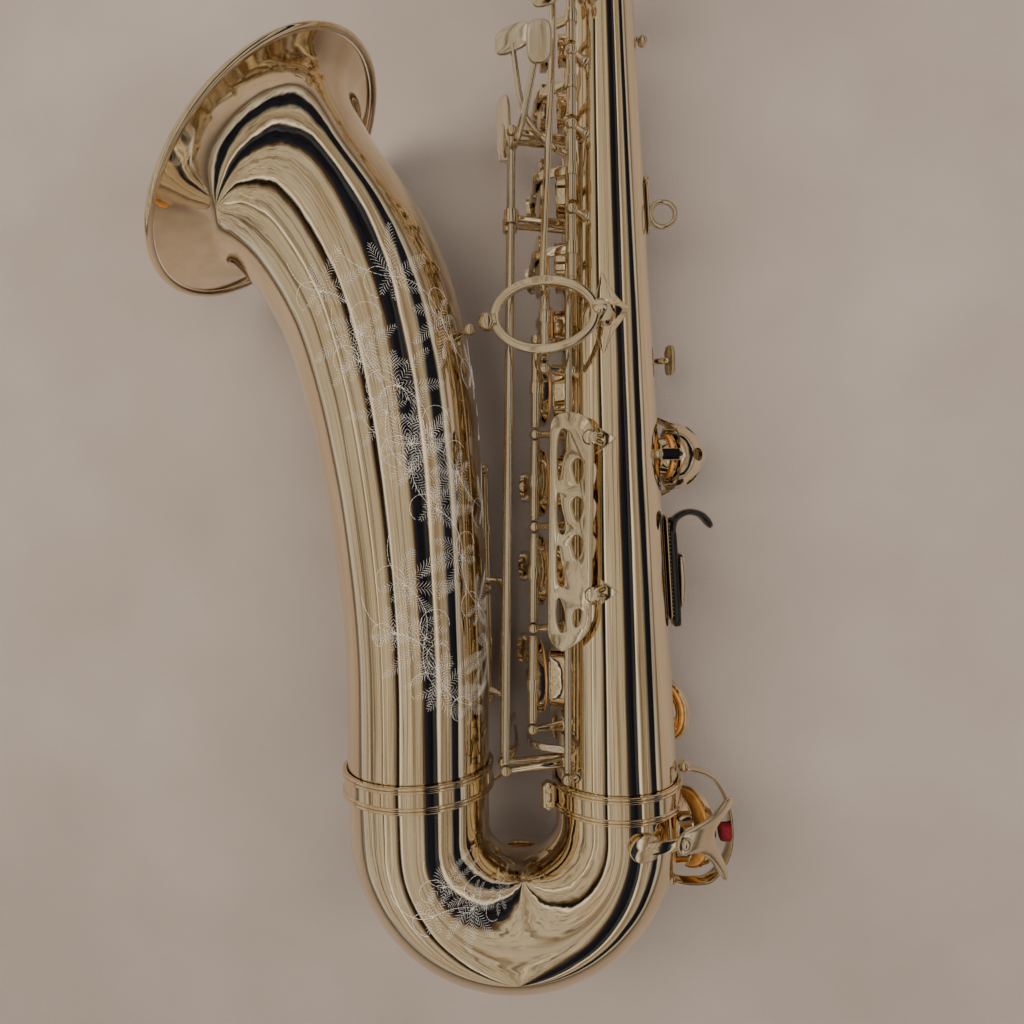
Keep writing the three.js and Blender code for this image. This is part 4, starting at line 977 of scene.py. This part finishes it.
def receiver():
    part = Part()
    inner = body_radius(500) + GAP
    profile = [
        (inner, 500), (inner, 512.4), (14.2, 512.6), (14.2, 530), (16.6, 530), (17.5, 529), (17.5, 527.2),
        (16.8, 526.4), (16.8, 505), (17.6, 503.6), (17.6, 501.4), (16.8, 500)
    ]
    lathe(part, V(0, 0, 0), Y, profile, 72, loop=True)
    for side in (-1, 1):
        strap(part, [V(-15.5, 509.5, side * 3.4), V(-15.5, 520.5, side * 3.4)], 17, 3, X, ends=0.1)
    thing = piece("receiver_sleeve", part, champagne, "horn", stands_for=["neck_receiver"])
    slit = Part()
    corners = [V(x, y, z) for x in (-32, -14.3) for y in (510, 534) for z in (-1, 1)]
    slit.add(corners, BOX_FACES)
    lathe(slit, V(-21, 515, -12), Z, [(0, 0), (2, 0), (2, 30), (0, 30)], 20)
    drilled(thing, slit)
    screw = Part()
    lathe(
        screw, V(-21, 515, -7), Z,
        [(0, 0), (1.5, 0), (1.5, 12.4), (3, 12.6), (3, 15), (1.8, 15.6), (1.8, 26), (0, 26)], 20
    )
    strap(screw, [V(-27.5, 515, 20), V(-14.5, 515, 20)], 7, 2.2, Z)
    piece(
        "receiver_thumbscrew", screw, key_metal, "receiver_clamp_screw", stands_for=["receiver_clamp_screw"]
    )


receiver()


def neck():
    points = [V(0, 514, 0), V(0, 544, 0), V(2, 574, 0), V(18, 608, 0), V(50, 633, 0), V(88, 639, 0)]
    points += [NECK_END + NECK_WAY * along for along in (-48, -24, 0)]
    line = spline(points, 2)
    part = Part()
    outer = lambda u: 13.4 - 6.2 * u
    revolve_line(part, line, outer, lambda u: outer(u) - WALL, 64)
    collar = [(12.8, 0), (12.8, 5), (16.2, 5), (16.9, 4), (17, 2.5), (16.9, 1), (16.2, 0)]
    lathe(part, V(0, RECEIVER_TOP + GAP, 0), Y, collar, 64, loop=True)
    lathe(
        part, PIP - V(0, 6, 0), Y, [(1.4, 0), (3.6, 0), (3.2, 2), (3.2, 5.6), (2.9, 6), (1.4, 6)], 28,
        loop=True
    )
    below = NECK_PIVOT + V(1.6, -7.6, 0)
    for z in (-7, 7):
        strap(part, [below + V(0, 0, z), NECK_PIVOT + V(0, 2, z)], 5, 2, X)
    strap(part, [below + V(0, 0, -8), below + V(0, 0, 8)], 5, 3, X)
    piece("neck_tube", part, champagne, "neck", stands_for=["neck"])
    sleeve = Part()
    start = NECK_END - NECK_WAY * 42
    lathe(
        sleeve, start, NECK_WAY, [(9.25, 0), (9.5, 0.4), (9.12, 41), (8.8, 41.5), (7.9, 41.5), (9.1, 1)], 56,
        loop=True
    )
    piece("neck_cork_sleeve", sleeve, cork, "neck", ["neck_cork"])


neck()

MOUTH_BASE = NECK_END - NECK_WAY * 20
MOUTH_UP = V(-NECK_WAY.y, NECK_WAY.x, 0)


def along_mouth(distance, height=0.0, side=0.0):
    return MOUTH_BASE + NECK_WAY * distance + MOUTH_UP * height + Z * side


def mouthpiece():
    part = Part()
    outside = [
        (13.4, 0), (14, 0.8), (14, 5.2), (13.4, 6), (12.6, 6.4), (12.2, 40), (11.6, 96), (6, 96), (8, 66),
        (8, 30), (10, 30), (10, 0)
    ]
    lathe(part, MOUTH_BASE, NECK_WAY, outside, 72, loop=True)
    thing = piece("mouthpiece_body", part, ebonite, "mouthpiece", ["mouthpiece"])
    cuts = Part()
    for a, b, away in (
        (along_mouth(52, 12.3), along_mouth(112, 0.5), MOUTH_UP * 30),
        (along_mouth(26, -9.3), along_mouth(116, -9.3), MOUTH_UP * -30),
    ):
        corners = [p + up + Z * z for p in (a, b) for up in (V(0, 0, 0), away) for z in (-20, 20)]
        cuts.add(corners, BOX_FACES)
    drilled(thing, cuts)
    reed = Part()

    def section(u):
        thin = 1 if u < 0.5 else 1 - 0.82 * (u - 0.5) / 0.5
        return [(a, -1.2 + 1.2 * thin + b * thin) for a, b in slab(14, 2.4, 5)]

    skin(reed, [along_mouth(27 + 69 * i / 40, -10.75) for i in range(41)], section, Z)
    piece("reed_cane", reed, cane, "mouthpiece", ["reed"])
    lig = Part()
    lathe(
        lig, along_mouth(30), NECK_WAY,
        [(14.2, 0), (15.2, 0), (15.7, 0.8), (15.2, 1.8), (15.2, 28.2), (15.7, 29.2), (15.2, 30), (14.2, 30)],
        64, loop=True
    )
    strap(lig, [along_mouth(31, -16.8), along_mouth(59, -16.8)], 6, 3.6, Z)
    for along in (37, 53):
        lathe(
            lig, along_mouth(along, -17, -8), Z,
            [(0, 0), (1.5, 0), (1.5, 19), (3.2, 19.4), (3.7, 20.4), (3.7, 22.6), (3.2, 23.4), (0, 23.5)], 24
        )
    piece("ligature_band", lig, key_metal, "mouthpiece", stands_for=["ligature"])


mouthpiece()


# ---------- Keys ----------
def turned_open(hole, ends, degrees):
    """The turn from a key's closed place to its open one."""
    axis = (ends[1] - ends[0]).normalized()
    lift = 1 if axis.cross(hole[0] - ends[0]).dot(hole[1]) > 0 else -1
    return Matrix.Translation(ends[0]) @ Matrix.Rotation(
        rad(lift * degrees), 4, axis
    ) @ Matrix.Translation(-ends[0])


def tube(part, start, end, radius=2.3):
    """A hinge tube with a small collar near each end."""
    length = (end - start).length
    profile = [(0, 0), (radius, 0), (radius, 0.6), (radius - 0.25, 0.9), (radius - 0.25, 1.3), (radius, 1.6)]
    profile += [(r, length - h) for r, h in reversed(profile)]
    return lathe(part, start, end - start, profile, 20)


def add_finger_plate(part, y, angle, height, long, wide, thick=2.4, turn=0):
    """A rounded rectangular touch over the body; turn swings its face further round to the left."""
    at = on_body(y, angle, height)
    facing = outward(angle + turn)
    across = facing.cross(Y).normalized()
    outline = slab(wide, long, 3.4, 56)
    return cutout(part, [outline], thick, at - facing * thick / 2, across * -1, Y, 0.8)


def lever(part, places, facing, width=3.4, thick=2.4):
    return strap(part, [on_body(*place) for place in places], width, thick, facing.cross(Y))


def key(name, ends, degrees, rest_open, pearl_at=None, pearl_radius=8.0, extra=None, cad_pad=False):
    hole = HOLES[name]
    at, facing, radius = hole
    turn = turned_open(hole, ends, degrees) if rest_open else Matrix.Identity(4)
    part = Part()
    tube(part, *ends)
    R = radius + 3
    cup = [
        (0, 7.9), (R - 1.2, 7.9), (R - 1.1, 5.9), (R - 0.6, 5.5), (R - 0.1, 5.9), (R, 6.6), (R, 8.6),
        (R - 0.5, 9.3), (R - 1.6, 9.7), (R * 0.62, 10.0), (R * 0.55, 10.5), (R * 0.3, 10.4), (0, 10.4)
    ]
    lathe(part, at, facing, cup, 56)
    middle = at + facing * (CUP_TOP + 1)
    lathe(
        part, middle - facing * 1.4, facing, [(0, 0), (4.4, 0), (4.2, 1.2), (3.4, 2.2), (1.6, 2.9), (0, 3)],
        24
    )
    t = min(max((middle.y - ends[0].y) / (ends[1].y - ends[0].y), 0.06), 0.94)
    hinge_at = ends[0].lerp(ends[1], t)
    out = hinge_at - middle
    drop = out.dot(facing)
    side = out - facing * drop
    path = [middle, middle.lerp(hinge_at, 0.5) + facing * 0.6, hinge_at]
    if drop <= -2 and side.length >= R + 3.4:
        knee = middle + side.normalized() * (R + 1.4)
        path = [middle, middle.lerp(knee, 0.6) + facing * 0.5, knee, hinge_at]
    strap(part, path, 4.6, 2.6, facing.cross(side))
    lathe(part, hinge_at - (ends[1] - ends[0]).normalized() * 3, ends[1] - ends[0],
          [(0, 0), (2.9, 0), (3.1, 0.6), (3.1, 5.4), (2.9, 6), (0, 6)], 20)
    if extra:
        extra(part)
    touches = Part()
    if pearl_at:
        y, angle, height, face_angle = pearl_at
        spot, face = on_body(y, angle, height), outward(face_angle)
        start = on_body(y, -5, CUP_TOP + 1)
        strap(part, [start, start.lerp(spot, 0.55) + face * 1.2, spot - face], 3.6, 2.4, Y)
        r = pearl_radius
        lathe(
            part, spot - face * 2, face,
            [(0, 0), (r - 2, 0), (r, 1.4), (r, 3.6), (r - 0.5, 4), (r - 1.1, 3.6), (r - 1.1, 2.6), (0, 2.6)],
            40
        )
        lathe(
            touches, spot - face * 2, face,
            [(0, 2.7), (r - 1.3, 2.7), (r - 1.3, 3.5), (r * 0.55, 3.1), (0, 3.0)], 40
        )
    piece(name + "_metal", part.moved(turn), key_metal, name, stands_for=[name])
    if pearl_at:
        piece(name + "_pearl", touches.moved(turn), pearl, name)
    pad = Part()
    edge = radius + 1.6
    lathe(
        pad, at, facing,
        [
            (0, 4.75), (radius - 2.2, 4.7), (radius - 0.8, 4.62), (radius - 0.2, 4.45), (edge - 0.5, 4.5),
            (edge, 5.1), (edge, 7.9), (0, 7.9)
        ],
        56
    )
    piece(
        name + "_leather", pad.moved(turn), leather, name, [name + "_pad"] if cad_pad else ()
    )
    boss = Part()
    r = radius * 0.5
    dome = [
        (0, 3.3), (r * 0.5, 3.5), (r * 0.8, 4.0), (r * 0.86, 4.4), (r * 0.93, 4.2), (r, 4.4), (r, 4.9),
        (0, 4.9)
    ]
    lathe(boss, at, facing, dome, 40)
    piece(name + "_resonator", boss.moved(turn), rod_metal, name)


for i, (name, y) in enumerate((("key_d", 62), ("key_e", 107), ("key_f", 150), ("key_fs", None))):
    ends = between(RH_LINE, RH_POSTS[i], RH_POSTS[i + 1])
    key(name, ends, 11, True, (y, -36, 17, -30) if y else None, 8.5, cad_pad=name != "key_fs")
for i, (name, y) in enumerate((("key_g", 262), ("key_a", 300), ("key_b", 342), ("key_c", None))):
    ends = between(LH_LINE, LH_POSTS[i], LH_POSTS[i + 1])
    key(name, ends, 9, True, (y, -38, 15, -32) if y else None, 7.5, cad_pad=name == "key_a")


def g_sharp(part):
    lever(part, [(241, 33, 16), (243, 39, 21), (258, 43, 23.5), (376, 50, 23), (384, 53, 29)], outward(45))
    add_finger_plate(part, 383, 50, 29, 24, 15, 2, 22)


key("key_g_sharp", between(GS_LINE, 206, 248), 9, False, extra=g_sharp)


def table_rod(name, line, low, high, levers, finger, link):
    part = Part()
    start, end = on_line(line, low), on_line(line, high)
    tube(part, start, end, 1.8)
    lever(part, levers, outward(finger[1]))
    add_finger_plate(part, *finger, 2.2, 38)
    strap(part, [on_line(line, link[0].y), *link], 3.4, 2.4, Y)
    piece(name + "_metal", part, rod_metal, name, stands_for=[name])


table_rod(
    "low_b_rod", B_LINE, 15.6, 319.4, [(313, 21, 30), (319, 33, 31), (346, 45, 31)], (354, 48, 31, 20, 12),
    [V(-51.5, 20, 12), V(-51.5, 20, -22)]
)
table_rod(
    "low_bb_rod", BB_LINE, 15.6, 319.4, [(313, 9, 28), (320, -3, 31.5), (340, -8, 32)], (338, -9, 32, 34, 13),
    [V(-51.5, 27, -22)]
)
table_rod(
    "low_cs_rod", CS_LINE, 11.6, 319.4,
    [(311, 42, 5.5), (312, 41, 18), (330, 24, 24), (360, 20, 29), (367, 20, 30)], (369, 20, 30, 13, 20),
    [V(-42, 22, 14), V(-44, 20, -20)]
)


def bell_ends(low, high):
    """A bell key's hinge, between two of the bell's posts."""
    x, z = BELL_HINGE
    return V(x, low + POST_BALL + GAP, z), V(x, high - POST_BALL - GAP, z)


key("key_low_b", bell_ends(*BELL_POSTS[:2]), 9, True, cad_pad=True,
    extra=lambda part: strap(part, [V(-66, 35.5, -46), V(-56, 35.5, -34)], 3.6, 2.4, Y))
key("key_low_bb", bell_ends(*BELL_POSTS[1:]), 9, True, cad_pad=True,
    extra=lambda part: strap(part, [V(-66, 99, -46), V(-56.5, 97, -40), V(-56.5, 42, -38)], 3.6, 2.4, X))


def low_c(part):
    strap(part, [on_line(C_LINE, -1), V(7, 0, -52), V(-22, 13, -51)], 3.6, 2.4, Y)
    add_finger_plate(part, 14, -64, 24, 16, 14)


key("key_low_c", (on_line(C_LINE, -44.5), on_line(C_LINE, 2.4)), 6.5, True, cad_pad=True, extra=low_c)


def low_eb(part):
    strap(part, [on_line(EB_LINE, 36), on_body(36, -66, 23)], 3.6, 2.4, Y)
    add_finger_plate(part, 36, -64, 23.5, 16, 14)


key("key_low_eb", between(EB_LINE, 6, 58), 11, False, extra=low_eb)
key("key_low_c_sharp", (BOW_HINGE[0] + Y * (POST_BALL + GAP), BOW_HINGE[1] - Y * (POST_BALL + GAP)), 9, False,
    extra=lambda part: strap(part, [V(-80, -21, -46), V(-62, -14, -42), V(-50, 6, -36)], 3.6, 2.4, Z))


def plate_key(name, line, low, high, degrees, arm_y, arm_to, finger):
    """A key that is closed at rest, worked by a plate at the end of an arm."""
    def extra(part):
        strap(part, [on_line(line, arm_y), on_body(*arm_to)], 3.4, 2.4, Y)
        add_finger_plate(part, *finger)

    key(name, between(line, low, high), degrees, False, extra=extra)


plate_key("key_alt_fs", ALT_LINE, 146, 182, 10, 158, (140, -104, 17), (134, -102, 18, 18, 8))
for name, line, low, high, finger in (
    ("key_side_bb", SIDE_BB_LINE, 192, 346, (202, -104, 22, 24, 9)),
    ("key_side_c", SIDE_C_LINE, 186, 380, (197, -82, 22, 22, 9)),
    ("key_side_e", SIDE_E_LINE, 204, 431, (216, -158, 15, 16, 8)),
):
    plate_key(name, line, low, high, 10, finger[0], finger[:3], finger)
for i, (name, y) in enumerate((("key_palm_d", 403), ("key_palm_eb", 432), ("key_palm_f", 460))):
    finger = (y, 40, 19, 18, 9)
    plate_key(name, PALM_LINE, PALM_POSTS[i], PALM_POSTS[i + 1], 12, finger[0], finger[:3], finger)


def octaves():
    part = Part()
    tube(part, OCTAVE_PIVOT - Z * 4.4, OCTAVE_PIVOT + Z * 4.4)
    strap(part, [V(24.5, 430, 0), OCTAVE_PIVOT, V(22.6, 500, 0), V(23, 552, 0)], 5, 2.4, Z)
    strap(part, [V(25, 422, 0), V(24.4, 438, 0)], 11, 2.4, Z)
    piece("octave_thumb_lever", part, key_metal, "octave_lever", stands_for=["octave_lever"])
    part = Part()
    tube(part, NECK_PIVOT - Z * 5.6, NECK_PIVOT + Z * 5.6)
    hoop(part, V(0, 548, 0), Y, 27.5, 1.5, 14, 72)
    level = PIP.y + GAP
    strap(
        part,
        [
            V(-27.5, 548, 0), V(-25, 575, 0), V(-7, 613, 0), V(18, 641, 0), NECK_PIVOT, V(74, level + 4.4, 0),
            V(98, level + 4.4, 0)
        ],
        5, 2.4, Z
    )
    lathe(part, V(98, level + 1.6, 0), Y, [(0, 0), (5, 0), (5, 2), (4, 3), (0, 3.2)], 28)
    piece("neck_octave_arm", part, key_metal, "neck_octave_key", stands_for=["neck_octave_key"])
    pad = Part()
    lathe(pad, V(98, level, 0), Y, [(0, 0), (4.4, 0), (4.7, 0.4), (4.7, 1.6), (0, 1.6)], 28)
    piece("neck_octave_leather", pad, leather, "neck_octave_key")


octaves()


# ---------- Engraving: bright cut strokes along feather-like leaves on the bell and the bow ----------
def bell_spot(along, across, lift):
    """A place on the bell: millimetres up its line, and millimetres round it from its left side."""
    u = min(max(along / bell_length, 0), 1)
    i = u * (len(bell_line) - 1)
    k = min(int(i), len(bell_line) - 2)
    point = bell_line[k].lerp(bell_line[k + 1], i - k)
    side = (bell_line[k + 1] - bell_line[k]).normalized().cross(Z).normalized()
    radius = bell_radius(u)
    turn = across / radius
    return point + (side * math.sin(turn) + Z * math.cos(turn)) * (radius + lift)


def bow_spot(along, across, lift):
    """A place on the bow: millimetres along its line from the body, and round it from its left side."""
    turn = -along / BOW_RADIUS
    point = V(BOW_RADIUS * (math.cos(turn) - 1), BOW_RADIUS * math.sin(turn) - BOW_LEG, 0)
    side = V(math.sin(turn), -math.cos(turn), 0).cross(Z).normalized()
    radius = bow_radius(0.1 + 0.8 * along / (math.pi * BOW_RADIUS))
    round_turn = across / radius
    return point + (side * math.sin(round_turn) + Z * math.cos(round_turn)) * (radius + lift)


def stroke(part, spot, a, b, width, bend=0.0):
    """One cut: a thin spindle lying on the surface from a to b."""
    steps = 3
    rows = []
    for i in range(steps + 1):
        t = i / steps
        off = bend * math.sin(math.pi * t)
        along = a[0] + (b[0] - a[0]) * t - off * (b[1] - a[1])
        across = a[1] + (b[1] - a[1]) * t + off * (b[0] - a[0])
        thick = math.sin(math.pi * (0.08 + 0.84 * t))
        rows.append((spot(along, across, 0.05), spot(along, across, -0.05), thick))
    verts = []
    for i, (top, low, thick) in enumerate(rows):
        other = rows[i + 1][0] if i < steps else rows[i - 1][0]
        way = (other - top) if i < steps else (top - other)
        side = way.cross(top - low).normalized() * width * thick / 2
        verts += [low - side, top, low + side]
    faces = [(0, 1, 2), (3 * steps, 3 * steps + 2, 3 * steps + 1)]
    for i in range(steps):
        for k in range(3):
            m = (k + 1) % 3
            faces.append((3 * i + k, 3 * i + m, 3 * i + 3 + m, 3 * i + 3 + k))
    part.add(verts, faces)


def feather(part, spot, start, heading, length, breadth, curl, pitch=1.5, width=0.24):
    """A curling leaf: short cuts stand off both sides of a bending spine."""
    at = list(start)
    way = rad(heading)
    count = max(3, round(length / pitch))
    for i in range(count):
        t = i / count
        a = tuple(at)
        at[0] += pitch * math.cos(way)
        at[1] += pitch * math.sin(way)
        way += rad(curl) / count
        reach = breadth * math.sin(math.pi * min(1, t * 0.88 + 0.1)) ** 0.7
        for sign in (-1, 1):
            lean = way + sign * rad(58 - 22 * t)
            stroke(
                part, spot, a, (a[0] + reach * math.cos(lean), a[1] + reach * math.sin(lean)), width,
                -sign * 0.1
            )
    return tuple(at), math.degrees(way)


def scroll(part, spot, start, heading, length, curl, width=0.34):
    """A fine curling line made of end-to-end cuts; gives where it ends and which way it then runs."""
    at = list(start)
    way = rad(heading)
    count = max(4, round(length / 2.2))
    for _ in range(count):
        a = tuple(at)
        at[0] += length / count * math.cos(way)
        at[1] += length / count * math.sin(way)
        way += rad(curl) / count
        stroke(part, spot, a, tuple(at), width)
    return tuple(at), math.degrees(way)


def fan(part, spot, at, heading, size, leaves=4, spread_by=170):
    """Leaves that open out from one place like a fan, longest in the middle."""
    for i in range(leaves):
        t = i / (leaves - 1) - 0.5
        long = 1.5 * size * (1 - 0.9 * abs(t)) * dice.uniform(0.9, 1.1)
        feather(part, spot, at, heading + spread_by * t, long, size * 0.22, -110 * t + dice.uniform(-12, 12))


def vine(part, spot, start, heading, lengths, size):
    """A stem that bends to and fro, with a fan at each bend and curls between them."""
    at, way = start, heading
    for i, length in enumerate(lengths):
        side = 1 if i % 2 else -1
        at, way = scroll(part, spot, at, way, length, 70 * side)
        fan(part, spot, at, way + 50 * side, size * dice.uniform(0.85, 1.15))
        fan(part, spot, at, way - 110 * side, size * 0.7, 2, 80)
        scroll(part, spot, at, way + 120 * side, size * 1.5, 240 * side)


def engraving():
    part = Part()
    bow_end = math.pi * BOW_RADIUS
    for spot, start, heading, lengths, size in (
        (bell_spot, (268, -24), 190, (26, 30, 30, 28), 20),
        (bell_spot, (262, 0), 170, (30, 30, 32, 30, 28), 19),
        (bell_spot, (236, -12), 200, (30, 28, 30), 18),
        (bell_spot, (184, -10), 160, (28, 28, 30, 28), 20),
        (bell_spot, (160, 10), 190, (26, 28, 28, 28), 18),
        (bell_spot, (128, -4), 200, (26, 28, 28), 20),
        (bell_spot, (100, -22), 170, (26, 28, 28), 16),
        (bow_spot, (bow_end - 4, 6), 195, (20, 22, 22), 16),
        (bow_spot, (bow_end - 16, -14), 170, (22, 22), 15),
    ):
        vine(part, spot, start, heading, lengths, size)
    piece("engraving", part, cut_metal, "horn", sharp=60, weld=False)


engraving()


# ---------- Floor, light and camera ----------
def floor():
    mesh = bpy.data.meshes.new("floor")
    reach = 6.0
    mesh.from_pydata(
        [(-reach, -reach, 0), (reach, -reach, 0), (reach, reach, 0), (-reach, reach, 0)], [], [(0, 1, 2, 3)]
    )
    mat, nodes, links, shader = new_material("pale_floor")
    tone = noise(nodes, links, 9, detail=8)
    links.new(
        ramp(nodes, links, tone, [(0.3, (0.25, 0.2, 0.165)), (0.7, (0.3, 0.245, 0.203))]),
        shader.inputs["Base Color"]
    )
    shader.inputs["Roughness"].default_value = 0.9
    shader.inputs["Specular IOR Level"].default_value = 0.2
    bump(nodes, links, shader, noise(nodes, links, 700, detail=4), 0.3, 0.0008)
    mesh.materials.append(mat)
    ground = placed("floor", mesh)
    ground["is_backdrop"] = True


floor()


def area_light(name, at, size, power, colour):
    lamp = bpy.data.lights.new(name, "AREA")
    lamp.shape = "RECTANGLE"
    lamp.size, lamp.size_y = size
    lamp.energy = power
    lamp.color = colour
    thing = placed(name, lamp)
    thing.location = at
    thing.rotation_euler = (-Vector(at)).to_track_quat("-Z", "Y").to_euler()
    thing.visible_glossy = False


area_light("key_strip", (-0.75, 0.1, 1.15), (0.5, 1.6), 24, (1.0, 0.95, 0.88))
area_light("fill_strip", (0.85, -0.1, 1.0), (0.5, 1.6), 17, (1.0, 0.97, 0.93))
area_light("end_strip", (-0.3, 1.7, 1.2), (1.6, 0.5), 7, (0.93, 0.96, 1.0))


BAND_WAVER = 0.24
BAND_OFFSET = 0.12
STREAKS_PER_RADIAN = 15.0


def maths(nodes, links, operation, *terms):
    """The result of a sum on numbers and other nodes' results."""
    node = nodes.new("ShaderNodeMath")
    node.operation = operation
    for socket, term in zip(node.inputs, terms):
        if isinstance(term, bpy.types.NodeSocket):
            links.new(term, socket)
        else:
            socket.default_value = term
    return node.outputs[0]


def mixed(nodes, links, factor, first, second):
    node = nodes.new("ShaderNodeMixShader")
    for socket, source in zip(node.inputs, (factor, first, second)):
        links.new(source, socket)
    return node.outputs[0]


def world():
    """A studio of pale cards and dark gaps along the horn, seen only in its polish; plain where looked at."""
    scene_world = bpy.data.worlds.new("studio")
    bpy.context.scene.world = scene_world
    scene_world.use_nodes = True
    nodes, links = scene_world.node_tree.nodes, scene_world.node_tree.links
    out = nodes["World Output"]
    cards = nodes["Background"]
    where = nodes.new("ShaderNodeTexCoord")
    split = nodes.new("ShaderNodeSeparateXYZ")
    links.new(where.outputs["Generated"], split.inputs[0])
    angle = maths(nodes, links, "ARCTAN2", split.outputs["X"], split.outputs["Z"])
    waver = node_of(nodes, "TexNoise", Scale=2.6, Detail=3)
    links.new(where.outputs["Generated"], waver.inputs["Vector"])
    shift = maths(nodes, links, "MULTIPLY_ADD", waver.outputs["Fac"], BAND_WAVER, angle)
    low, high = -math.pi / 2 + BAND_OFFSET, math.pi / 2 + BAND_OFFSET
    place = node_of(nodes, "MapRange", From_Min=low, From_Max=high)
    links.new(shift, place.inputs["Value"])
    cream, tan, white = (0.82, 0.73, 0.59), (0.42, 0.33, 0.24), (1.9, 1.8, 1.6)
    pale, dark, brown = (1.05, 1.05, 1.02), (0.02, 0.017, 0.016), (0.13, 0.08, 0.048)
    navy, slate = (0.02, 0.028, 0.06), (0.09, 0.11, 0.17)
    stops = [
        (0.0, tan), (0.03, pale), (0.075, cream), (0.14, cream), (0.15, brown), (0.165, cream), (0.24, cream),
        (0.25, tan), (0.26, white), (0.275, cream), (0.355, cream), (0.38, brown), (0.395, dark),
        (0.41, dark), (0.42, white), (0.435, cream), (0.53, cream), (0.54, tan), (0.555, cream),
        (0.61, cream), (0.63, brown), (0.65, navy), (0.70, dark), (0.715, slate), (0.745, dark),
        (0.76, white), (0.785, tan), (0.85, cream), (0.88, navy), (0.95, dark), (0.965, pale), (1.0, tan)
    ]
    bands = ramp(nodes, links, place.outputs["Result"], stops)
    lines = nodes.new("ShaderNodeCombineXYZ")
    links.new(maths(nodes, links, "MULTIPLY", shift, STREAKS_PER_RADIAN), lines.inputs["X"])
    links.new(split.outputs["Y"], lines.inputs["Y"])
    streaks = node_of(nodes, "TexNoise", Scale=1.6, Detail=4)
    links.new(lines.outputs[0], streaks.inputs["Vector"])
    shade = ramp(
        nodes, links, streaks.outputs["Fac"],
        [
            (0.0, (0.5, 0.42, 0.34)), (0.38, (0.3, 0.26, 0.25)), (0.42, (1, 1, 1)), (0.52, (1, 0.97, 0.92)),
            (0.56, (0.35, 0.28, 0.22)), (0.59, (1, 1, 1)), (0.66, (1.6, 1.5, 1.3)), (0.7, (0.7, 0.6, 0.5))
        ]
    )
    both = nodes.new("ShaderNodeMix")
    both.data_type = "RGBA"
    both.blend_type = "MULTIPLY"
    both.inputs["Factor"].default_value = 1.0
    links.new(bands, both.inputs["A"])
    links.new(shade, both.inputs["B"])
    links.new(both.outputs["Result"], cards.inputs["Color"])
    cards.inputs["Strength"].default_value = 0.7
    plain = node_of(nodes, "Background", Color=(0.62, 0.58, 0.53, 1), Strength=0.7)
    dim = node_of(nodes, "Background", Color=(0.95, 0.97, 1.0, 1), Strength=0.34)
    rays = nodes.new("ShaderNodeLightPath")
    matte = mixed(nodes, links, rays.outputs["Is Diffuse Ray"], cards.outputs[0], dim.outputs[0])
    seen = mixed(nodes, links, rays.outputs["Is Camera Ray"], matte, plain.outputs[0])
    links.new(seen, out.inputs["Surface"])


world()


LENS_MM, SENSOR_MM = 25.1, 36
EYE = V(-50.5, 137, 366.4)  # in the horn's frame, over its left side
IMAGE_UP = V(0.022, 1, 0).normalized()


def camera():
    lens = bpy.data.cameras.new("camera")
    lens.sensor_width = SENSOR_MM
    lens.lens = LENS_MM
    lens.clip_start = 0.01
    thing = placed("camera", lens)
    right = IMAGE_UP.cross(Z).normalized()
    place = HORN @ EYE
    turn = HORN.to_3x3().normalized() @ Matrix((right, IMAGE_UP, Z)).transposed()
    thing.matrix_world = Matrix.Translation(place) @ turn.to_4x4()
    bpy.context.scene.camera = thing


camera()

low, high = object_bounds()
